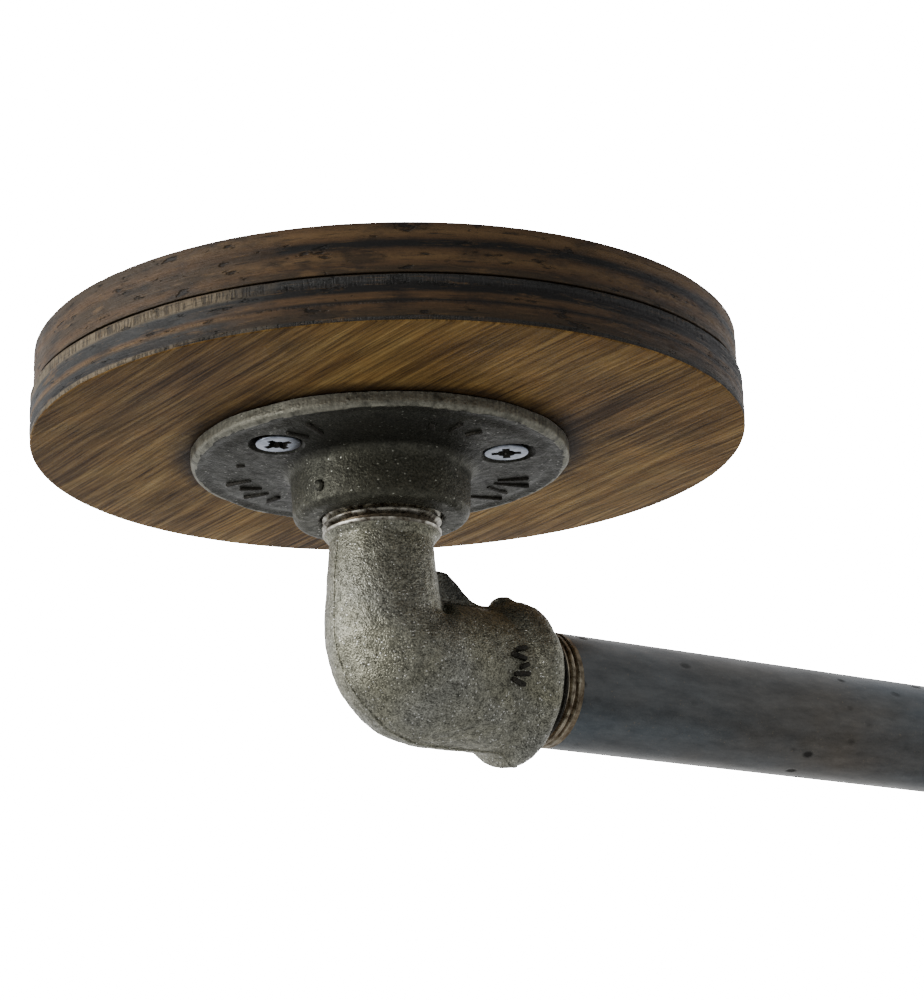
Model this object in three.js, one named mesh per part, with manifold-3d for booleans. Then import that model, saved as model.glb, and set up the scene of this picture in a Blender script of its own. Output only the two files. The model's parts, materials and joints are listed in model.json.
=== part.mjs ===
// Ceiling rail rack with two hanging pulleys.
//
// A length of threaded black pipe hangs below the ceiling between two equal end
// mounts. Each mount is a pair of stained plywood discs, a cast-iron floor flange
// held by three flat-head screws, and a street elbow whose male end screws into the
// flange and whose female end takes the pipe. Two pulleys slide along the pipe on
// flanged sleeves; each hangs in a bent strap that swings about the pipe.
//
// Millimetres, +Z up. The origin is on the ceiling plane, on the axis of the left
// flange, and +X runs along the rail, so everything hangs below z = 0.

import * as THREE from "three";
import { mergeVertices } from "three/addons/utils/BufferGeometryUtils.js";
import Module from "manifold-3d";

const wasm = await Module();
wasm.setup();

// ---------------------------------------------------------------- clearances
const GAP = 0.3; // left between faces that touch on the bench
const RUNNING = 0.4; // left between faces that slide or turn on each other

// ---------------------------------------------------------------- rail pipe
const RAIL_LENGTH = 609.6;
const PIPE_OUTSIDE = 26.7;
const PIPE_WALL = 2.9;
const RAIL_SCREWED_IN = 13; // length of pipe inside each elbow socket

// ---------------------------------------------------------------- plywood discs
const DISC_THICKNESS = 10;
const CEILING_DISC_DIAMETER = 157;
const FACE_DISC_DIAMETER = 159.6;
const DISC_EDGE_ROUND = 1.2;
const CEILING_DISC_OFFSET = [-1.3, -5.5]; // disc centre from the flange axis
const FACE_DISC_OFFSET = [0.6, -2.9];
const CEILING_SCREW_COUNT = 3; // countersunk holes for the installer's screws
const CEILING_SCREW_CIRCLE = 112;
const CEILING_SCREW_HOLE = 5;
const CEILING_SCREW_HEAD = 10;
const CEILING_SCREW_FIRST_DEG = 15;

// ---------------------------------------------------------------- floor flange
const FLANGE_DIAMETER = 85;
const FLANGE_RIM = 3.2;
const FLANGE_FACE_RISE = 0.9; // the plate is this much thicker at the hub
const FLANGE_HEIGHT = 15.8;
const HUB_WALL = 6.45; // around the thread, at the hub's mouth
const HUB_TAPER = 0.5; // the hub is this much thicker where it meets the plate
const HUB_FILLET = 2.4;
const CAST_EDGE = 0.9; // rounding of the cast edges
const BORE_MOUTH_CHAMFER = 1.2;

// ---------------------------------------------------------------- flange screws
const SCREW_COUNT = 3;
const SCREW_FROM_HUB = 9.9; // hole centre from the side of the hub
const SCREW_FIRST_DEG = 187.5;
const SCREW_PULLED_IN = 0.7; // each screw sits this much towards the hub in its hole
const SCREW_HEAD_DIAMETER = 9.8;
const SCREW_HEAD_HEIGHT = 2.8;
const SCREW_HEAD_LAND = 0.4;
const SCREW_SHANK_DIAMETER = 4.6;
const SCREW_LENGTH = 20;
const SCREW_POINT = 4;
const SCREW_HOLE_MOUTH = 12.8;
const SCREW_HOLE_THROAT = 7.8;
const RECESS_SPAN = 5;
const RECESS_SLOT = 1.1;
const RECESS_DEPTH = 1.8;

// ---------------------------------------------------------------- street elbow
const ELBOW_TO_MALE_END = 47.8; // from the crossing of its two axes
const ELBOW_TO_FACE = 36;
const MALE_SCREWED_IN = 14; // length of male thread inside the flange
const MALE_THREAD_LENGTH = 18;
const NECK_STEP = 1.65; // the neck is this much thinner than the thread, all round
const NECK_SHOULDER = 1.2; // from the last thread to the full neck
const NECK_LENGTH = 8;
const BODY_WALL = 2.65; // outside the pipe's own radius
const BEND_RADIUS = 12; // of the centre line
const BAND_WALL = 5.55; // likewise
const BAND_LENGTH = 8;
const BAND_RAMP = 2.5;
const SOCKET_DEPTH = 14;
const BORE_STEP = 4.6; // the bore is this much smaller than the thread, all round
const RIB_THICKNESS = 5.5;
const RIB_REACH = 5.1; // the rib's top corner, outside the neck
const RIB_RISE = 7.8; // and above the body
const RIB_FOOT = 3.2; // the rib ends this far short of the band

// ---------------------------------------------------------------- pulleys
const PULLEY_SPACING = 200;
const ROPE_WAY = 10.75; // open height between the sleeve and the sheave
const SLEEVE_WALL = 2.5;
const SLEEVE_FLANGE = 3;
const SLEEVE_FLANGE_WIDTH = 3; // along the rail
const RING_WALL = 3;
const STRAP_WIDTH = 25;
const STRAP_THICKNESS = 3;
const STRAP_STRAIGHT = 8; // below the rail axis, before the legs draw in
const STRAP_DRAW_IN = 18;
const SHEAVE_DIAMETER = 64;
const SHEAVE_WIDTH = 14;
const ROPE_DIAMETER = 10;
const ROPE_CLEARANCE = 0.5;
const GROOVE_DEPTH = 6.5;
const SHEAVE_RIM = 4; // metal under the groove
const SHEAVE_WEB = 5;
const SHEAVE_HUB_DIAMETER = 24;
const SHEAVE_HOLE_COUNT = 5;
const SHEAVE_HOLE_DIAMETER = 7;
const BUSH_WALL = 2.2;
const AXLE_DIAMETER = 8;
const AXLE_HEAD_FLATS = 12.7;
const AXLE_HEAD_HEIGHT = 5.3;
const AXLE_SHOWS_PAST_NUT = 3;
const SPACER_THICKNESS = 1.6;
const SPACER_DIAMETER = 18;
const LOCK_WASHER_THICKNESS = 2;
const LOCK_WASHER_DIAMETER = 14.5;
const NUT_HEIGHT = 6.8;

// ---------------------------------------------------------------- worked out
const PIPE_RADIUS = PIPE_OUTSIDE / 2;
const SOCKET_RADIUS = PIPE_RADIUS + GAP;
const FACE_DISC_TOP = -DISC_THICKNESS - GAP;
const FACE_DISC_BOTTOM = FACE_DISC_TOP - DISC_THICKNESS;
const FLANGE_TOP = FACE_DISC_BOTTOM - GAP;
const HUB_BOTTOM = FLANGE_TOP - FLANGE_HEIGHT;
const MALE_END = HUB_BOTTOM + MALE_SCREWED_IN;
const RAIL_Z = MALE_END - ELBOW_TO_MALE_END;
const RAIL_START = ELBOW_TO_FACE - RAIL_SCREWED_IN;
const SPAN = RAIL_LENGTH + 2 * RAIL_START;
const HUB_TIP_RADIUS = PIPE_RADIUS + HUB_WALL;
const HUB_ROOT_RADIUS = HUB_TIP_RADIUS + HUB_TAPER;
const SCREW_HOLE_RADIUS = HUB_ROOT_RADIUS + SCREW_FROM_HUB; // of the circle they lie on
const SCREW_RADIUS = SCREW_HOLE_RADIUS - SCREW_PULLED_IN;

const SLEEVE_BORE = PIPE_RADIUS + RUNNING;
const SLEEVE_RADIUS = SLEEVE_BORE + SLEEVE_WALL;
const STRAP_INSIDE = SLEEVE_RADIUS + RUNNING;
const SLEEVE_INNER_LENGTH = STRAP_WIDTH + 2 * RUNNING;
const PULLEY_DROP = SLEEVE_RADIUS + SLEEVE_FLANGE + ROPE_WAY + SHEAVE_DIAMETER / 2;
const AXLE_RADIUS = AXLE_DIAMETER / 2;
const SPACER_FACE = SHEAVE_WIDTH / 2 + RUNNING;
const LEG_INSIDE = SPACER_FACE + SPACER_THICKNESS + GAP;
const LEG_OUTSIDE = LEG_INSIDE + STRAP_THICKNESS;
const LOCK_WASHER_FACE = LEG_OUTSIDE + GAP;
const NUT_FACE = LOCK_WASHER_FACE + LOCK_WASHER_THICKNESS + GAP;
const AXLE_END = NUT_FACE + NUT_HEIGHT + AXLE_SHOWS_PAST_NUT;
const BUSH_RADIUS = AXLE_RADIUS + GAP + BUSH_WALL;

// ---------------------------------------------------------------- solids
// A closed three.js geometry as a solid that can be joined and cut.
function solid(geometry) {
  const bare = geometry.clone();
  bare.deleteAttribute("normal");
  bare.deleteAttribute("uv");
  const merged = mergeVertices(bare, 1e-4);
  return new wasm.Manifold(
    new wasm.Mesh({
      numProp: 3,
      vertProperties: new Float32Array(merged.attributes.position.array),
      triVerts: new Uint32Array(merged.index.array),
    }),
  );
}

function geometryOf(body) {
  const mesh = body.getMesh();
  const geometry = new THREE.BufferGeometry();
  geometry.setAttribute("position", new THREE.BufferAttribute(mesh.vertProperties, 3));
  geometry.setIndex(new THREE.BufferAttribute(mesh.triVerts, 1));
  geometry.computeVertexNormals();
  return geometry;
}

function joined(first, ...others) {
  return others.reduce((whole, piece) => whole.add(piece), first);
}

function cut(first, ...tools) {
  return tools.reduce((whole, tool) => whole.subtract(tool), first);
}

const points = (pairs) => pairs.map(([across, along]) => new THREE.Vector2(across, along));

// A profile of [radius, height] pairs, outer side upwards, turned about the Z axis.
function turned(profile, sides) {
  const geometry = new THREE.LatheGeometry(points(profile), sides);
  return geometry.rotateX(Math.PI / 2);
}

// The same profile turned about the X axis, its heights along +X.
function turnedAlongRail(profile, sides) {
  const geometry = new THREE.LatheGeometry(points(profile), sides);
  return geometry.rotateZ(-Math.PI / 2);
}

// And about the Y axis, its heights along +Y.
function turnedAlongAxle(profile, sides) {
  return new THREE.LatheGeometry(points(profile), sides);
}

// A ring of rectangular section, as a profile for any of the three.
function ringProfile(inner, outer, low, high) {
  return [[inner, low], [outer, low], [outer, high], [inner, high], [inner, low]];
}

function rodProfile(radius, low, high) {
  return [[0, low], [radius, low], [radius, high], [0, high]];
}

// Places on a circle, as [x, y, angle].
function around(count, radius, firstDegrees = 0) {
  return Array.from({ length: count }, (_, i) => {
    const angle = THREE.MathUtils.degToRad(firstDegrees + (360 / count) * i);
    return [radius * Math.cos(angle), radius * Math.sin(angle), angle];
  });
}

// ---------------------------------------------------------------- finishes
const finish = (color, roughness, metalness) =>
  new THREE.MeshStandardMaterial({ color, roughness, metalness });

const stainedPly = finish(0x6b4a2a, 0.62, 0);
const castIron = finish(0x55544e, 0.55, 0.85);
const castSteel = finish(0x6b655b, 0.5, 0.85);
const millSteel = finish(0x3d4247, 0.38, 0.9);
const zinc = finish(0xa9b2bd, 0.3, 0.95);
const bronze = finish(0x8a6a3c, 0.35, 0.95);
const forged = finish(0x33322f, 0.55, 0.8);

function named(name, geometry, material) {
  const mesh = new THREE.Mesh(geometry, material);
  mesh.name = name;
  return mesh;
}

// ---------------------------------------------------------------- plywood discs
const DISC_SIDES = 40;

function discBlank(diameter, top) {
  const radius = diameter / 2;
  const bottom = top - DISC_THICKNESS;
  const round = DISC_EDGE_ROUND;
  return solid(turned([
    [0, bottom], [radius - round, bottom], [radius - 0.3 * round, bottom + 0.3 * round],
    [radius, bottom + round], [radius, top - round],
    [radius - 0.3 * round, top - 0.3 * round], [radius - round, top], [0, top],
  ], DISC_SIDES));
}

// A drilled hole for each flange screw, from below up to the height given.
function pilotHoles(bottom, top) {
  const radius = SCREW_SHANK_DIAMETER / 2 + GAP;
  return around(SCREW_COUNT, SCREW_RADIUS, SCREW_FIRST_DEG).map(([x, y]) =>
    solid(turned(rodProfile(radius, bottom, top), 12).translate(x, y, 0)));
}

function ceilingDisc() {
  const [x, y] = CEILING_DISC_OFFSET;
  const blank = discBlank(CEILING_DISC_DIAMETER, 0).translate([x, y, 0]);
  const sink = (CEILING_SCREW_HEAD - CEILING_SCREW_HOLE) / 2;
  const installerHoles = around(
    CEILING_SCREW_COUNT, CEILING_SCREW_CIRCLE / 2, CEILING_SCREW_FIRST_DEG,
  ).map(([hx, hy]) => solid(turned([
    [0, -DISC_THICKNESS - 1], [CEILING_SCREW_HEAD / 2, -DISC_THICKNESS - 1],
    [CEILING_SCREW_HEAD / 2, -DISC_THICKNESS], [CEILING_SCREW_HOLE / 2, -DISC_THICKNESS + sink],
    [CEILING_SCREW_HOLE / 2, 1], [0, 1],
  ], 16).translate(hx, hy, 0)));
  const pilotTop = SCREW_HEAD_SEAT + SCREW_LENGTH + 2 * GAP;
  return geometryOf(cut(blank, ...installerHoles, ...pilotHoles(-DISC_THICKNESS - 1, pilotTop)));
}

function faceDisc() {
  const [x, y] = FACE_DISC_OFFSET;
  const blank = discBlank(FACE_DISC_DIAMETER, FACE_DISC_TOP).translate([x, y, 0]);
  return geometryOf(cut(blank, ...pilotHoles(FACE_DISC_BOTTOM - 1, FACE_DISC_TOP + 1)));
}

// ---------------------------------------------------------------- floor flange
const RIM_BOTTOM = FLANGE_TOP - FLANGE_RIM;
const PLATE_AT_HUB = RIM_BOTTOM - FLANGE_FACE_RISE;

// Height of the flange's sloping face at a radius.
function flangeFace(radius) {
  const share = (FLANGE_DIAMETER / 2 - radius) / (FLANGE_DIAMETER / 2 - HUB_ROOT_RADIUS);
  return RIM_BOTTOM - FLANGE_FACE_RISE * share;
}

const SCREW_HEAD_SEAT = flangeFace(SCREW_HOLE_RADIUS) + 0.1; // flush with the face

function floorFlange() {
  const rim = FLANGE_DIAMETER / 2;
  const root = HUB_ROOT_RADIUS;
  const tip = HUB_TIP_RADIUS;
  const body = solid(turned([
    [SOCKET_RADIUS + BORE_MOUTH_CHAMFER, HUB_BOTTOM], [tip - CAST_EDGE, HUB_BOTTOM],
    [tip, HUB_BOTTOM + CAST_EDGE], [root, PLATE_AT_HUB - HUB_FILLET],
    [root + 0.3 * HUB_FILLET, PLATE_AT_HUB - 0.3 * HUB_FILLET],
    [root + HUB_FILLET, flangeFace(root + HUB_FILLET)],
    [rim - CAST_EDGE, flangeFace(rim - CAST_EDGE)], [rim, RIM_BOTTOM + CAST_EDGE],
    [rim, FLANGE_TOP], [SOCKET_RADIUS, FLANGE_TOP],
    [SOCKET_RADIUS, HUB_BOTTOM + BORE_MOUTH_CHAMFER],
    [SOCKET_RADIUS + BORE_MOUTH_CHAMFER, HUB_BOTTOM],
  ], 36));
  const throat = SCREW_HOLE_THROAT / 2;
  const mouth = SCREW_HOLE_MOUTH / 2;
  const face = flangeFace(SCREW_HOLE_RADIUS);
  const holes = around(SCREW_COUNT, SCREW_HOLE_RADIUS, SCREW_FIRST_DEG).map(([x, y]) =>
    solid(turned([
      [0, face - 1], [mouth + (mouth - throat) / SCREW_HEAD_HEIGHT, face - 1],
      [throat, face + SCREW_HEAD_HEIGHT], [throat, FLANGE_TOP + 1], [0, FLANGE_TOP + 1],
    ], 16).translate(x, y, 0)));
  return geometryOf(cut(body, ...holes));
}

// ---------------------------------------------------------------- flange screws
function flangeScrew() {
  const head = SCREW_HEAD_DIAMETER / 2;
  const shank = SCREW_SHANK_DIAMETER / 2;
  const body = solid(turned([
    [0, 0], [head, 0], [head, SCREW_HEAD_LAND], [shank, SCREW_HEAD_HEIGHT],
    [shank, SCREW_LENGTH - SCREW_POINT], [0, SCREW_LENGTH],
  ], 12));
  const slot = new THREE.BoxGeometry(RECESS_SPAN, RECESS_SLOT, 2 * RECESS_DEPTH);
  return geometryOf(cut(body, solid(slot), solid(slot.clone().rotateZ(Math.PI / 2))));
}

// ---------------------------------------------------------------- street elbow
// The elbow's centre line: down the male axis, round the bend and out along +X.
// Its origin is where the two axes cross. Distances are measured from the start.
function elbowStation(start, distance) {
  const down = start - BEND_RADIUS;
  const arc = (Math.PI / 2) * BEND_RADIUS;
  if (distance <= down) return { x: 0, z: start - distance, angle: 0 };
  if (distance >= down + arc)
    return { x: BEND_RADIUS + distance - down - arc, z: 0, angle: Math.PI / 2 };
  const angle = (distance - down) / BEND_RADIUS;
  return {
    x: BEND_RADIUS * (1 - Math.cos(angle)),
    z: BEND_RADIUS * (1 - Math.sin(angle)),
    angle,
  };
}

// A closed tube along that line with a radius that may change on the way.
function elbowTube(start, end, radiusAt, steps, sides) {
  const length = start - BEND_RADIUS + (Math.PI / 2) * BEND_RADIUS + (end - BEND_RADIUS);
  const tube = new THREE.CylinderGeometry(1, 1, 1, sides, steps);
  const place = tube.attributes.position;
  for (let i = 0; i < place.count; i++) {
    const distance = (0.5 - place.getY(i)) * length;
    const { x, z, angle } = elbowStation(start, distance);
    const out = place.getX(i) * radiusAt(distance);
    const side = place.getZ(i) * radiusAt(distance);
    place.setXYZ(i, x + out * Math.cos(angle), -side, z + out * Math.sin(angle));
  }
  return solid(tube);
}

function streetElbow() {
  const neck = PIPE_RADIUS - NECK_STEP;
  const belly = PIPE_RADIUS + BODY_WALL;
  const band = PIPE_RADIUS + BAND_WALL;
  const threadEnd = ELBOW_TO_MALE_END - MALE_THREAD_LENGTH;
  const neckTop = threadEnd - NECK_SHOULDER;
  const swellStart = NECK_LENGTH;
  const swellEnd = neckTop - BEND_RADIUS + 0.8 * (Math.PI / 2) * BEND_RADIUS;
  const bodyRadius = (distance) =>
    neck + (belly - neck) * THREE.MathUtils.smoothstep(distance, swellStart, swellEnd);

  const bandStart = ELBOW_TO_FACE - BAND_LENGTH;
  const bend = elbowTube(neckTop, bandStart, bodyRadius, 12, 16);
  const maleEnd = solid(turned([
    [0, neckTop - 1], [neck, neckTop - 1], [neck, neckTop], [PIPE_RADIUS, threadEnd],
    [PIPE_RADIUS, ELBOW_TO_MALE_END - 1], [PIPE_RADIUS - 1, ELBOW_TO_MALE_END],
    [0, ELBOW_TO_MALE_END],
  ], 18));
  const rounding = 1.5 * CAST_EDGE;
  const femaleBand = solid(turnedAlongRail([
    [0, bandStart - BAND_RAMP], [belly, bandStart - BAND_RAMP], [band, bandStart],
    [band, ELBOW_TO_FACE - rounding], [band - rounding, ELBOW_TO_FACE], [0, ELBOW_TO_FACE],
  ], 22));
  const ribOutline = new THREE.Shape(points([
    [0, neckTop - NECK_LENGTH], [neck - 1, belly + RIB_RISE],
    [neck + RIB_REACH, belly + RIB_RISE], [bandStart - RIB_FOOT, belly + 1],
    [bandStart - RIB_FOOT, 0], [BEND_RADIUS, 0],
  ]));
  const rib = solid(
    new THREE.ExtrudeGeometry(ribOutline, { depth: RIB_THICKNESS, bevelEnabled: false })
      .rotateX(Math.PI / 2).translate(0, RIB_THICKNESS / 2, 0),
  );
  const boreRadius = () => PIPE_RADIUS - BORE_STEP;
  const bore = elbowTube(ELBOW_TO_MALE_END + 1, ELBOW_TO_FACE - 1, boreRadius, 8, 12);
  const socket = solid(turnedAlongRail(
    rodProfile(SOCKET_RADIUS, ELBOW_TO_FACE - SOCKET_DEPTH, ELBOW_TO_FACE + 1), 18));
  return geometryOf(cut(joined(bend, maleEnd, femaleBand, rib), bore, socket));
}

// ---------------------------------------------------------------- rail pipe
function railPipe() {
  return turnedAlongRail(
    ringProfile(PIPE_RADIUS - PIPE_WALL, PIPE_RADIUS, 0, RAIL_LENGTH), 28);
}

// ---------------------------------------------------------------- pulley pieces
// Each is drawn about the rail axis, at the middle of its strap.
function railSleeve() {
  const half = SLEEVE_INNER_LENGTH / 2;
  const flange = SLEEVE_RADIUS + SLEEVE_FLANGE;
  return turnedAlongRail([
    [SLEEVE_BORE, -half - SLEEVE_FLANGE_WIDTH], [flange, -half - SLEEVE_FLANGE_WIDTH],
    [flange, -half], [SLEEVE_RADIUS, -half],
    [SLEEVE_RADIUS, half + SLEEVE_FLANGE_WIDTH], [SLEEVE_BORE, half + SLEEVE_FLANGE_WIDTH],
    [SLEEVE_BORE, -half - SLEEVE_FLANGE_WIDTH],
  ], 22);
}

function sleeveRing() {
  const half = SLEEVE_INNER_LENGTH / 2;
  const inner = SLEEVE_RADIUS + GAP;
  return turnedAlongRail(
    ringProfile(inner, inner + RING_WALL, half, half + SLEEVE_FLANGE_WIDTH), 22);
}

// The strap's inner line down one leg, as [sideways, height] from the rail axis.
const LEG_LINE = [
  [STRAP_INSIDE, 0],
  [STRAP_INSIDE, -STRAP_STRAIGHT],
  [LEG_INSIDE, -STRAP_STRAIGHT - STRAP_DRAW_IN],
  [LEG_INSIDE, -PULLEY_DROP - STRAP_WIDTH / 2],
];

// The same line moved outwards by the strap's thickness, with mitred corners.
function outerLine(line, thickness) {
  const normals = line.slice(1).map(([x, z], i) => {
    const along = new THREE.Vector2(x - line[i][0], z - line[i][1]).normalize();
    return new THREE.Vector2(-along.y, along.x);
  });
  return line.map(([x, z], i) => {
    const before = normals[Math.max(i - 1, 0)];
    const after = normals[Math.min(i, normals.length - 1)];
    const reach = thickness / (1 + before.dot(after));
    return [x + (before.x + after.x) * reach, z + (before.y + after.y) * reach];
  });
}

function hangerStrap() {
  const outer = outerLine(LEG_LINE, STRAP_THICKNESS);
  const mirrored = (line) => line.map(([x, z]) => [-x, z]);
  const outline = new THREE.Shape();
  outline.setFromPoints(points(outer.toReversed()));
  outline.absarc(0, 0, STRAP_INSIDE + STRAP_THICKNESS, 0, Math.PI, false);
  points(mirrored(outer).slice(1)).forEach((p) => outline.lineTo(p.x, p.y));
  points(mirrored(LEG_LINE).toReversed()).forEach((p) => outline.lineTo(p.x, p.y));
  outline.absarc(0, 0, STRAP_INSIDE, Math.PI, 0, true);
  points(LEG_LINE.slice(1)).forEach((p) => outline.lineTo(p.x, p.y));
  const acrossRail = new THREE.Matrix4().makeBasis(
    new THREE.Vector3(0, 1, 0), new THREE.Vector3(0, 0, 1), new THREE.Vector3(1, 0, 0));
  const bent = new THREE.ExtrudeGeometry(outline, {
    depth: STRAP_WIDTH, bevelEnabled: false, curveSegments: 12,
  }).translate(0, 0, -STRAP_WIDTH / 2).applyMatrix4(acrossRail);

  const reach = STRAP_INSIDE + STRAP_THICKNESS + 1;
  const half = STRAP_WIDTH / 2;
  const plan = new THREE.Shape();
  plan.moveTo(half, -PULLEY_DROP);
  plan.lineTo(half, reach);
  plan.lineTo(-half, reach);
  plan.lineTo(-half, -PULLEY_DROP);
  plan.absarc(0, -PULLEY_DROP, half, Math.PI, 2 * Math.PI, false);
  const roundedEnds = new THREE.ExtrudeGeometry(plan, {
    depth: 2 * reach, bevelEnabled: false, curveSegments: 8,
  }).rotateX(Math.PI / 2).translate(0, reach, 0);
  const axleHole = turnedAlongAxle(rodProfile(AXLE_RADIUS + GAP, -reach, reach), 16)
    .translate(0, 0, -PULLEY_DROP);
  return geometryOf(
    solid(bent).intersect(solid(roundedEnds)).subtract(solid(axleHole)));
}

// These are drawn about the axle, which lies along Y.
function sheaveWheel() {
  const radius = SHEAVE_DIAMETER / 2;
  const half = SHEAVE_WIDTH / 2;
  const groove = ROPE_DIAMETER / 2 + ROPE_CLEARANCE;
  const grooveFloor = radius - GROOVE_DEPTH;
  const rimInside = grooveFloor - SHEAVE_RIM;
  const hub = SHEAVE_HUB_DIAMETER / 2;
  const bore = BUSH_RADIUS + GAP;
  const web = SHEAVE_WEB / 2;
  const grooveArc = [-60, -20, 20, 60].map((degrees) => {
    const angle = THREE.MathUtils.degToRad(degrees);
    return [grooveFloor + groove * (1 - Math.cos(angle)), groove * Math.sin(angle)];
  });
  const wheel = solid(turnedAlongAxle([
    [bore, -half], [hub, -half], [hub, -web], [rimInside, -web], [rimInside, -half + 1],
    [radius - 0.8, -half + 0.6], [radius, -groove], ...grooveArc, [radius, groove],
    [radius - 0.8, half - 0.6], [rimInside, half - 1], [rimInside, web], [hub, web],
    [hub, half], [bore, half], [bore, -half],
  ], 28));
  const holes = around(SHEAVE_HOLE_COUNT, (hub + rimInside) / 2, 90).map(([x, z]) =>
    solid(turnedAlongAxle(rodProfile(SHEAVE_HOLE_DIAMETER / 2, -half, half), 10)
      .translate(x, 0, z)));
  return geometryOf(cut(wheel, ...holes));
}

function sheaveBush() {
  const half = SHEAVE_WIDTH / 2;
  return turnedAlongAxle(ringProfile(AXLE_RADIUS + GAP, BUSH_RADIUS, -half, half), 16);
}

// A washer whose first face lies at the distance given along the axle.
function washer(diameter, thickness, face) {
  return turnedAlongAxle(
    ringProfile(AXLE_RADIUS + GAP, diameter / 2, face, face + thickness), 14);
}

const hexagon = (height) =>
  new THREE.CylinderGeometry(
    AXLE_HEAD_FLATS / Math.sqrt(3), AXLE_HEAD_FLATS / Math.sqrt(3), height, 6);

function axleBolt() {
  const headFace = -LEG_OUTSIDE - GAP;
  const shank = solid(turnedAlongAxle([
    [0, headFace - 1], [AXLE_RADIUS, headFace - 1], [AXLE_RADIUS, AXLE_END - 0.8],
    [AXLE_RADIUS - 0.8, AXLE_END], [0, AXLE_END],
  ], 16));
  const head = solid(hexagon(AXLE_HEAD_HEIGHT)
    .translate(0, headFace - AXLE_HEAD_HEIGHT / 2, 0));
  return geometryOf(joined(shank, head));
}

function axleNut() {
  const blank = solid(hexagon(NUT_HEIGHT).translate(0, NUT_FACE + NUT_HEIGHT / 2, 0));
  const thread = turnedAlongAxle(
    rodProfile(AXLE_RADIUS + GAP, NUT_FACE - 1, NUT_FACE + NUT_HEIGHT + 1), 16);
  return geometryOf(cut(blank, solid(thread)));
}

// ---------------------------------------------------------------- assembly
function endMount(side) {
  const mount = new THREE.Group();
  mount.add(named(`${side}_ceiling_disc`, ceilingDisc(), stainedPly));
  mount.add(named(`${side}_face_disc`, faceDisc(), stainedPly));
  mount.add(named(`${side}_floor_flange`, floorFlange(), castIron));
  around(SCREW_COUNT, SCREW_RADIUS, SCREW_FIRST_DEG).forEach(([x, y, angle], i) => {
    const screw = named(`${side}_flange_screw_${i + 1}`, flangeScrew(), zinc);
    screw.position.set(x, y, SCREW_HEAD_SEAT);
    screw.rotation.z = angle + i;
    mount.add(screw);
  });
  const elbow = named(`${side}_street_elbow`, streetElbow(), castSteel);
  elbow.position.z = RAIL_Z;
  mount.add(elbow);
  return mount;
}

function pulley(side) {
  const hanging = new THREE.Group();
  hanging.add(named(`${side}_rail_sleeve`, railSleeve(), bronze));
  hanging.add(named(`${side}_sleeve_ring`, sleeveRing(), bronze));
  hanging.add(named(`${side}_hanger_strap`, hangerStrap(), forged));

  const axle = new THREE.Group();
  axle.position.z = -PULLEY_DROP;
  const spacer = [SPACER_DIAMETER, SPACER_THICKNESS];
  axle.add(named(`${side}_axle_bolt`, axleBolt(), zinc));
  axle.add(named(`${side}_front_spacer`, washer(...spacer, -SPACER_FACE - SPACER_THICKNESS), zinc));
  axle.add(named(`${side}_back_spacer`, washer(...spacer, SPACER_FACE), zinc));
  axle.add(named(
    `${side}_lock_washer`,
    washer(LOCK_WASHER_DIAMETER, LOCK_WASHER_THICKNESS, LOCK_WASHER_FACE), zinc));
  axle.add(named(`${side}_axle_nut`, axleNut(), zinc));
  axle.add(named(`${side}_sheave`, sheaveWheel(), castIron));
  axle.add(named(`${side}_sheave_bush`, sheaveBush(), bronze));
  hanging.add(axle);
  return hanging;
}

const rack = new THREE.Group();
rack.add(endMount("left"));

const rightMount = endMount("right");
rightMount.position.x = SPAN;
rightMount.rotation.z = Math.PI;
rack.add(rightMount);

const rail = named("rail_pipe", railPipe(), millSteel);
rail.position.set(RAIL_START, 0, RAIL_Z);
rack.add(rail);

["left", "right"].forEach((side, i) => {
  const hanging = pulley(side);
  hanging.position.set(SPAN / 2 + (i - 0.5) * PULLEY_SPACING, 0, RAIL_Z);
  rack.add(hanging);
});

export default rack;
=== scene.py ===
# %% [markdown]
# # A ceiling rack of pipe and plywood
# A black pipe hangs under the ceiling between two end mounts. Each mount is a pair of
# stained plywood discs, a cast floor flange with three screws, and a street elbow.
# Two pulleys slide along the pipe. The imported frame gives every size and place, so
# each piece below is a finer copy of the plain solid that it stands for.

# %% Load the frame
import json
import math

import bmesh
import bpy
from mathutils import Matrix, Vector, noise
from mathutils.bvhtree import BVHTree


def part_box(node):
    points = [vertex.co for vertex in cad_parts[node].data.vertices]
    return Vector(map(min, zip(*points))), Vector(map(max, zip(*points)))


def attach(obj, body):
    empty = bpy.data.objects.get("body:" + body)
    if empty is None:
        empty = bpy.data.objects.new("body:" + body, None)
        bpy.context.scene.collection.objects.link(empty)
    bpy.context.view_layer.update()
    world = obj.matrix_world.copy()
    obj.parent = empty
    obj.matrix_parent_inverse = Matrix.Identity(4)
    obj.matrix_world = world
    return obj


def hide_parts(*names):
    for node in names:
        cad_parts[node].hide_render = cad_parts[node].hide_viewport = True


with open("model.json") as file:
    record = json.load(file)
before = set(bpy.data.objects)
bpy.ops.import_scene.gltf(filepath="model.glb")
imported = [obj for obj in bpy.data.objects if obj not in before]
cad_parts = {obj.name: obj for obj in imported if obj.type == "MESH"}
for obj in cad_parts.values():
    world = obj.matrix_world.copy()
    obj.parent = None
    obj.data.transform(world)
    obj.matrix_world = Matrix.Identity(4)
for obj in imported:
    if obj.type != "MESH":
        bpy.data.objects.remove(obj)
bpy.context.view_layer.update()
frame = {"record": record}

scene = bpy.context.scene
MM = 0.001
TURN = 2 * math.pi
SIDES = ("left", "right")

# %% [markdown]
# ## Where things are
# The rack hangs from z = 0, the ceiling. The left flange's axis is the Z axis, and the
# right mount is the same mount turned half round at the far end of the rail. Reading
# these places from the frame keeps the fine pieces on the plain ones.

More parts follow.
